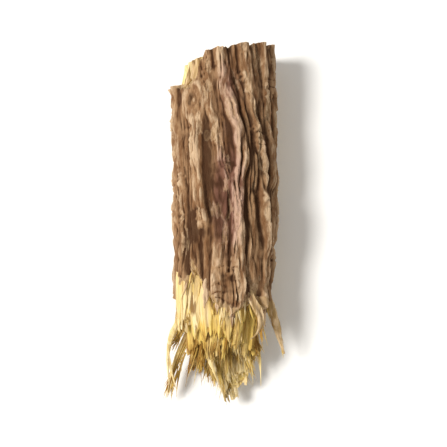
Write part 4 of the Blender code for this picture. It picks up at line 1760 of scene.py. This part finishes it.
def strip(path, width, thickness, face_first, face_last, seed, skin=0.0, tint=0.0, tip=0.2):
    """Loops and attributes of one strip.

    The section is a bar with round edges, cupped by the square of the distance from its
    middle, whose outer face turns from face_first to face_last. Noise makes its edges ragged
    and raises ridges along it. The outer face counts as skin mm deep in the root, and tip is
    the share of the width that is left at the free end.
    """
    s = np.linspace(0.0, 1.0, STRIP_RINGS)[:, None]
    way = np.gradient(path, axis=0)
    face = np.array(face_first) * (1.0 - s) + np.array(face_last) * s
    side = unit(np.cross(way, face))
    over = unit(np.cross(side, way))
    turn = full_turn(STRIP_POINTS)
    across = np.sin(turn)
    through = np.sign(np.cos(turn)) * np.abs(np.cos(turn)) ** 0.5
    edge = np.sign(across) * 3.0
    torn = noise(s * 9.0, edge, 0.0, seed) + 0.5 * noise(s * 24.0, edge, 1.5, seed)
    taper = 1.0 - (1.0 - tip) * smooth(0.55, 1.0, s) - 0.2 * (1.0 - smooth(0.0, 0.15, s))
    ridge = across * 0.5 * width / STRIP_RIDGE_WIDTH
    ridge = noise(ridge, s * len(path) / 9.0, through * 0.2, seed + 1)
    half = 0.5 * width * taper * (1.0 + STRIP_RAGGED * torn) * across
    lift = 0.5 * thickness * through * (0.25 + 0.75 * taper)
    lift = lift + STRIP_RIDGE * taper * ridge * np.abs(through)
    lift = lift - STRIP_CUP * width * taper * across**2
    loops = path[:, None] + side[:, None] * half[:, :, None] + over[:, None] * lift[:, :, None]
    loops[..., 2] = np.maximum(loops[..., 2], LOWEST)
    flat = np.zeros_like(half)
    # The raised ridges get a higher crest and go paler, partly as painted highlight, and the lines
    # between raised and low parts get a crease and go darker, as painted shade
    values = {
        "depth": skin + STRIP_DEEPER * (1.0 - through) + STRIP_STREAK * (skin > 0.0) * ridge,
        "crest": STRIP_CREST + 0.6 * ridge,
        "crease": 0.08 * bell(ridge, 0.12),
        "lost": smooth(0.0, 0.5, ridge),
        "crack": 0.0,
        "rose": 0.0,
        "tint": tint + 0.5 * ridge,
    }
    return loops, {key: value + flat for key, value in values.items()}


print("points in one strip:", STRIP_RINGS * STRIP_POINTS)

# %% Where the strips are
# Points that each route goes by, from where the strip is held to its free end
CURLED_STRIP = (
    (2.0, -6.4, 5.55), (2.6, -7.8, 5.60), (3.25, -8.9, 5.45), (3.35, -9.9, 5.15),
    (2.95, -10.7, 4.80), (2.3, -11.1, 4.60),
)
STRAY_STRIP = ((3.2, -4.6, 3.1), (4.1, -7.4, 3.1), (4.7, -9.6, 2.8), (5.3, -11.9, 2.3))
BOWED_FIBRE = (
    (-2.4, -7.6, 3.9), (-3.6, -8.7, 4.0), (-4.7, -10.4, 3.5), (-4.95, -12.4, 2.7),
    (-4.75, -14.4, 2.0),
)
FORKED_FIBRE = ((-4.4, -9.9, 3.7), (-4.9, -11.6, 3.1), (-4.6, -13.4, 2.3), (-4.1, -15.0, 1.7))
PALE_EDGE = ((-1.9, -10.2, 3.6), (-1.3, -12.2, 3.5), (-0.3, -15.0, 2.9))
# Each of them: points, width, thickness, way that its outer face looks at the start and at
# the free end, seed, depth in the root, tint, share of the width that is left at the end
HELD_STRIPS = (
    (CURLED_STRIP, 0.95, 0.22, (0.45, 0.0, 0.9), (1.0, -0.3, 0.15), 300, 0.38, 0.0, 0.1),
    (STRAY_STRIP, 0.85, 0.34, (0.8, 0.0, 0.6), (0.0, 0.0, 1.0), 310, 0.52, 0.0, 0.22),
    (BOWED_FIBRE, 0.46, 0.26, (-0.3, 0.0, 1.0), (-0.6, 0.0, 0.8), 313, 1.5, 1.3, 0.2),
    (FORKED_FIBRE, 0.26, 0.20, (-0.3, 0.0, 1.0), (0.4, 0.0, 0.8), 316, 1.5, 0.9, 0.2),
    (PALE_EDGE, 0.44, 0.34, (-0.4, 0.0, 1.0), (-0.6, 0.0, 0.8), 319, 1.5, 1.3, 0.2),
)
# Angle, length and width of the strips that hang from the bark's near edge
EDGE_STRIPS = (
    (-79.0, 1.9, 0.7), (-54.0, 1.3, 0.45), (-22.0, 1.7, 0.6), (-6.0, 0.9, 0.4),
    (14.0, 1.5, 0.5), (66.0, 2.1, 0.8), (80.0, 1.3, 0.6),
)
EDGE_STRIP_THICKNESS = 0.16
EDGE_STRIP_DEPTH = 0.30


def edge_strip(angle, length, width, seed):
    """A strip that runs on past the bark's near edge at an angle, and rises or falls a little."""
    turn = math.radians(angle)
    edge = float(follow(BARK_NEAR_EDGE, angle))
    droop = 0.25 * math.sin(seed * 2.3)
    points = []
    for out, lift in ((1.4, -0.15), (0.3, 0.0), (-0.5 * length, 0.3 * droop), (-length, droop)):
        y = edge + out
        reach = root_radius(angle, y) - EDGE_STRIP_DEPTH + lift
        points.append(out_from_axis(angle, y, reach))
    outward = (math.sin(turn), 0.0, math.cos(turn))
    return strip(route(points), width, EDGE_STRIP_THICKNESS, outward, outward, seed)


strips = [strip(route(points), *numbers) for points, *numbers in HELD_STRIPS]
strips +=[edge_strip(*where, 320 + 3 * index) for index, where in enumerate(EDGE_STRIPS)]
print("strips:", len(strips))

# %% Strip mesh
strip_loops = np.array([loops for loops, values in strips])
strip_values = {}
for name in strips[0][1]:
    strip_values[name] = tube_values(np.array([values[name] for loops, values in strips]))
bark_strips = make_mesh("bark_strips", *tubes(strip_loops), finish, strip_values)
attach(bark_strips, "root")
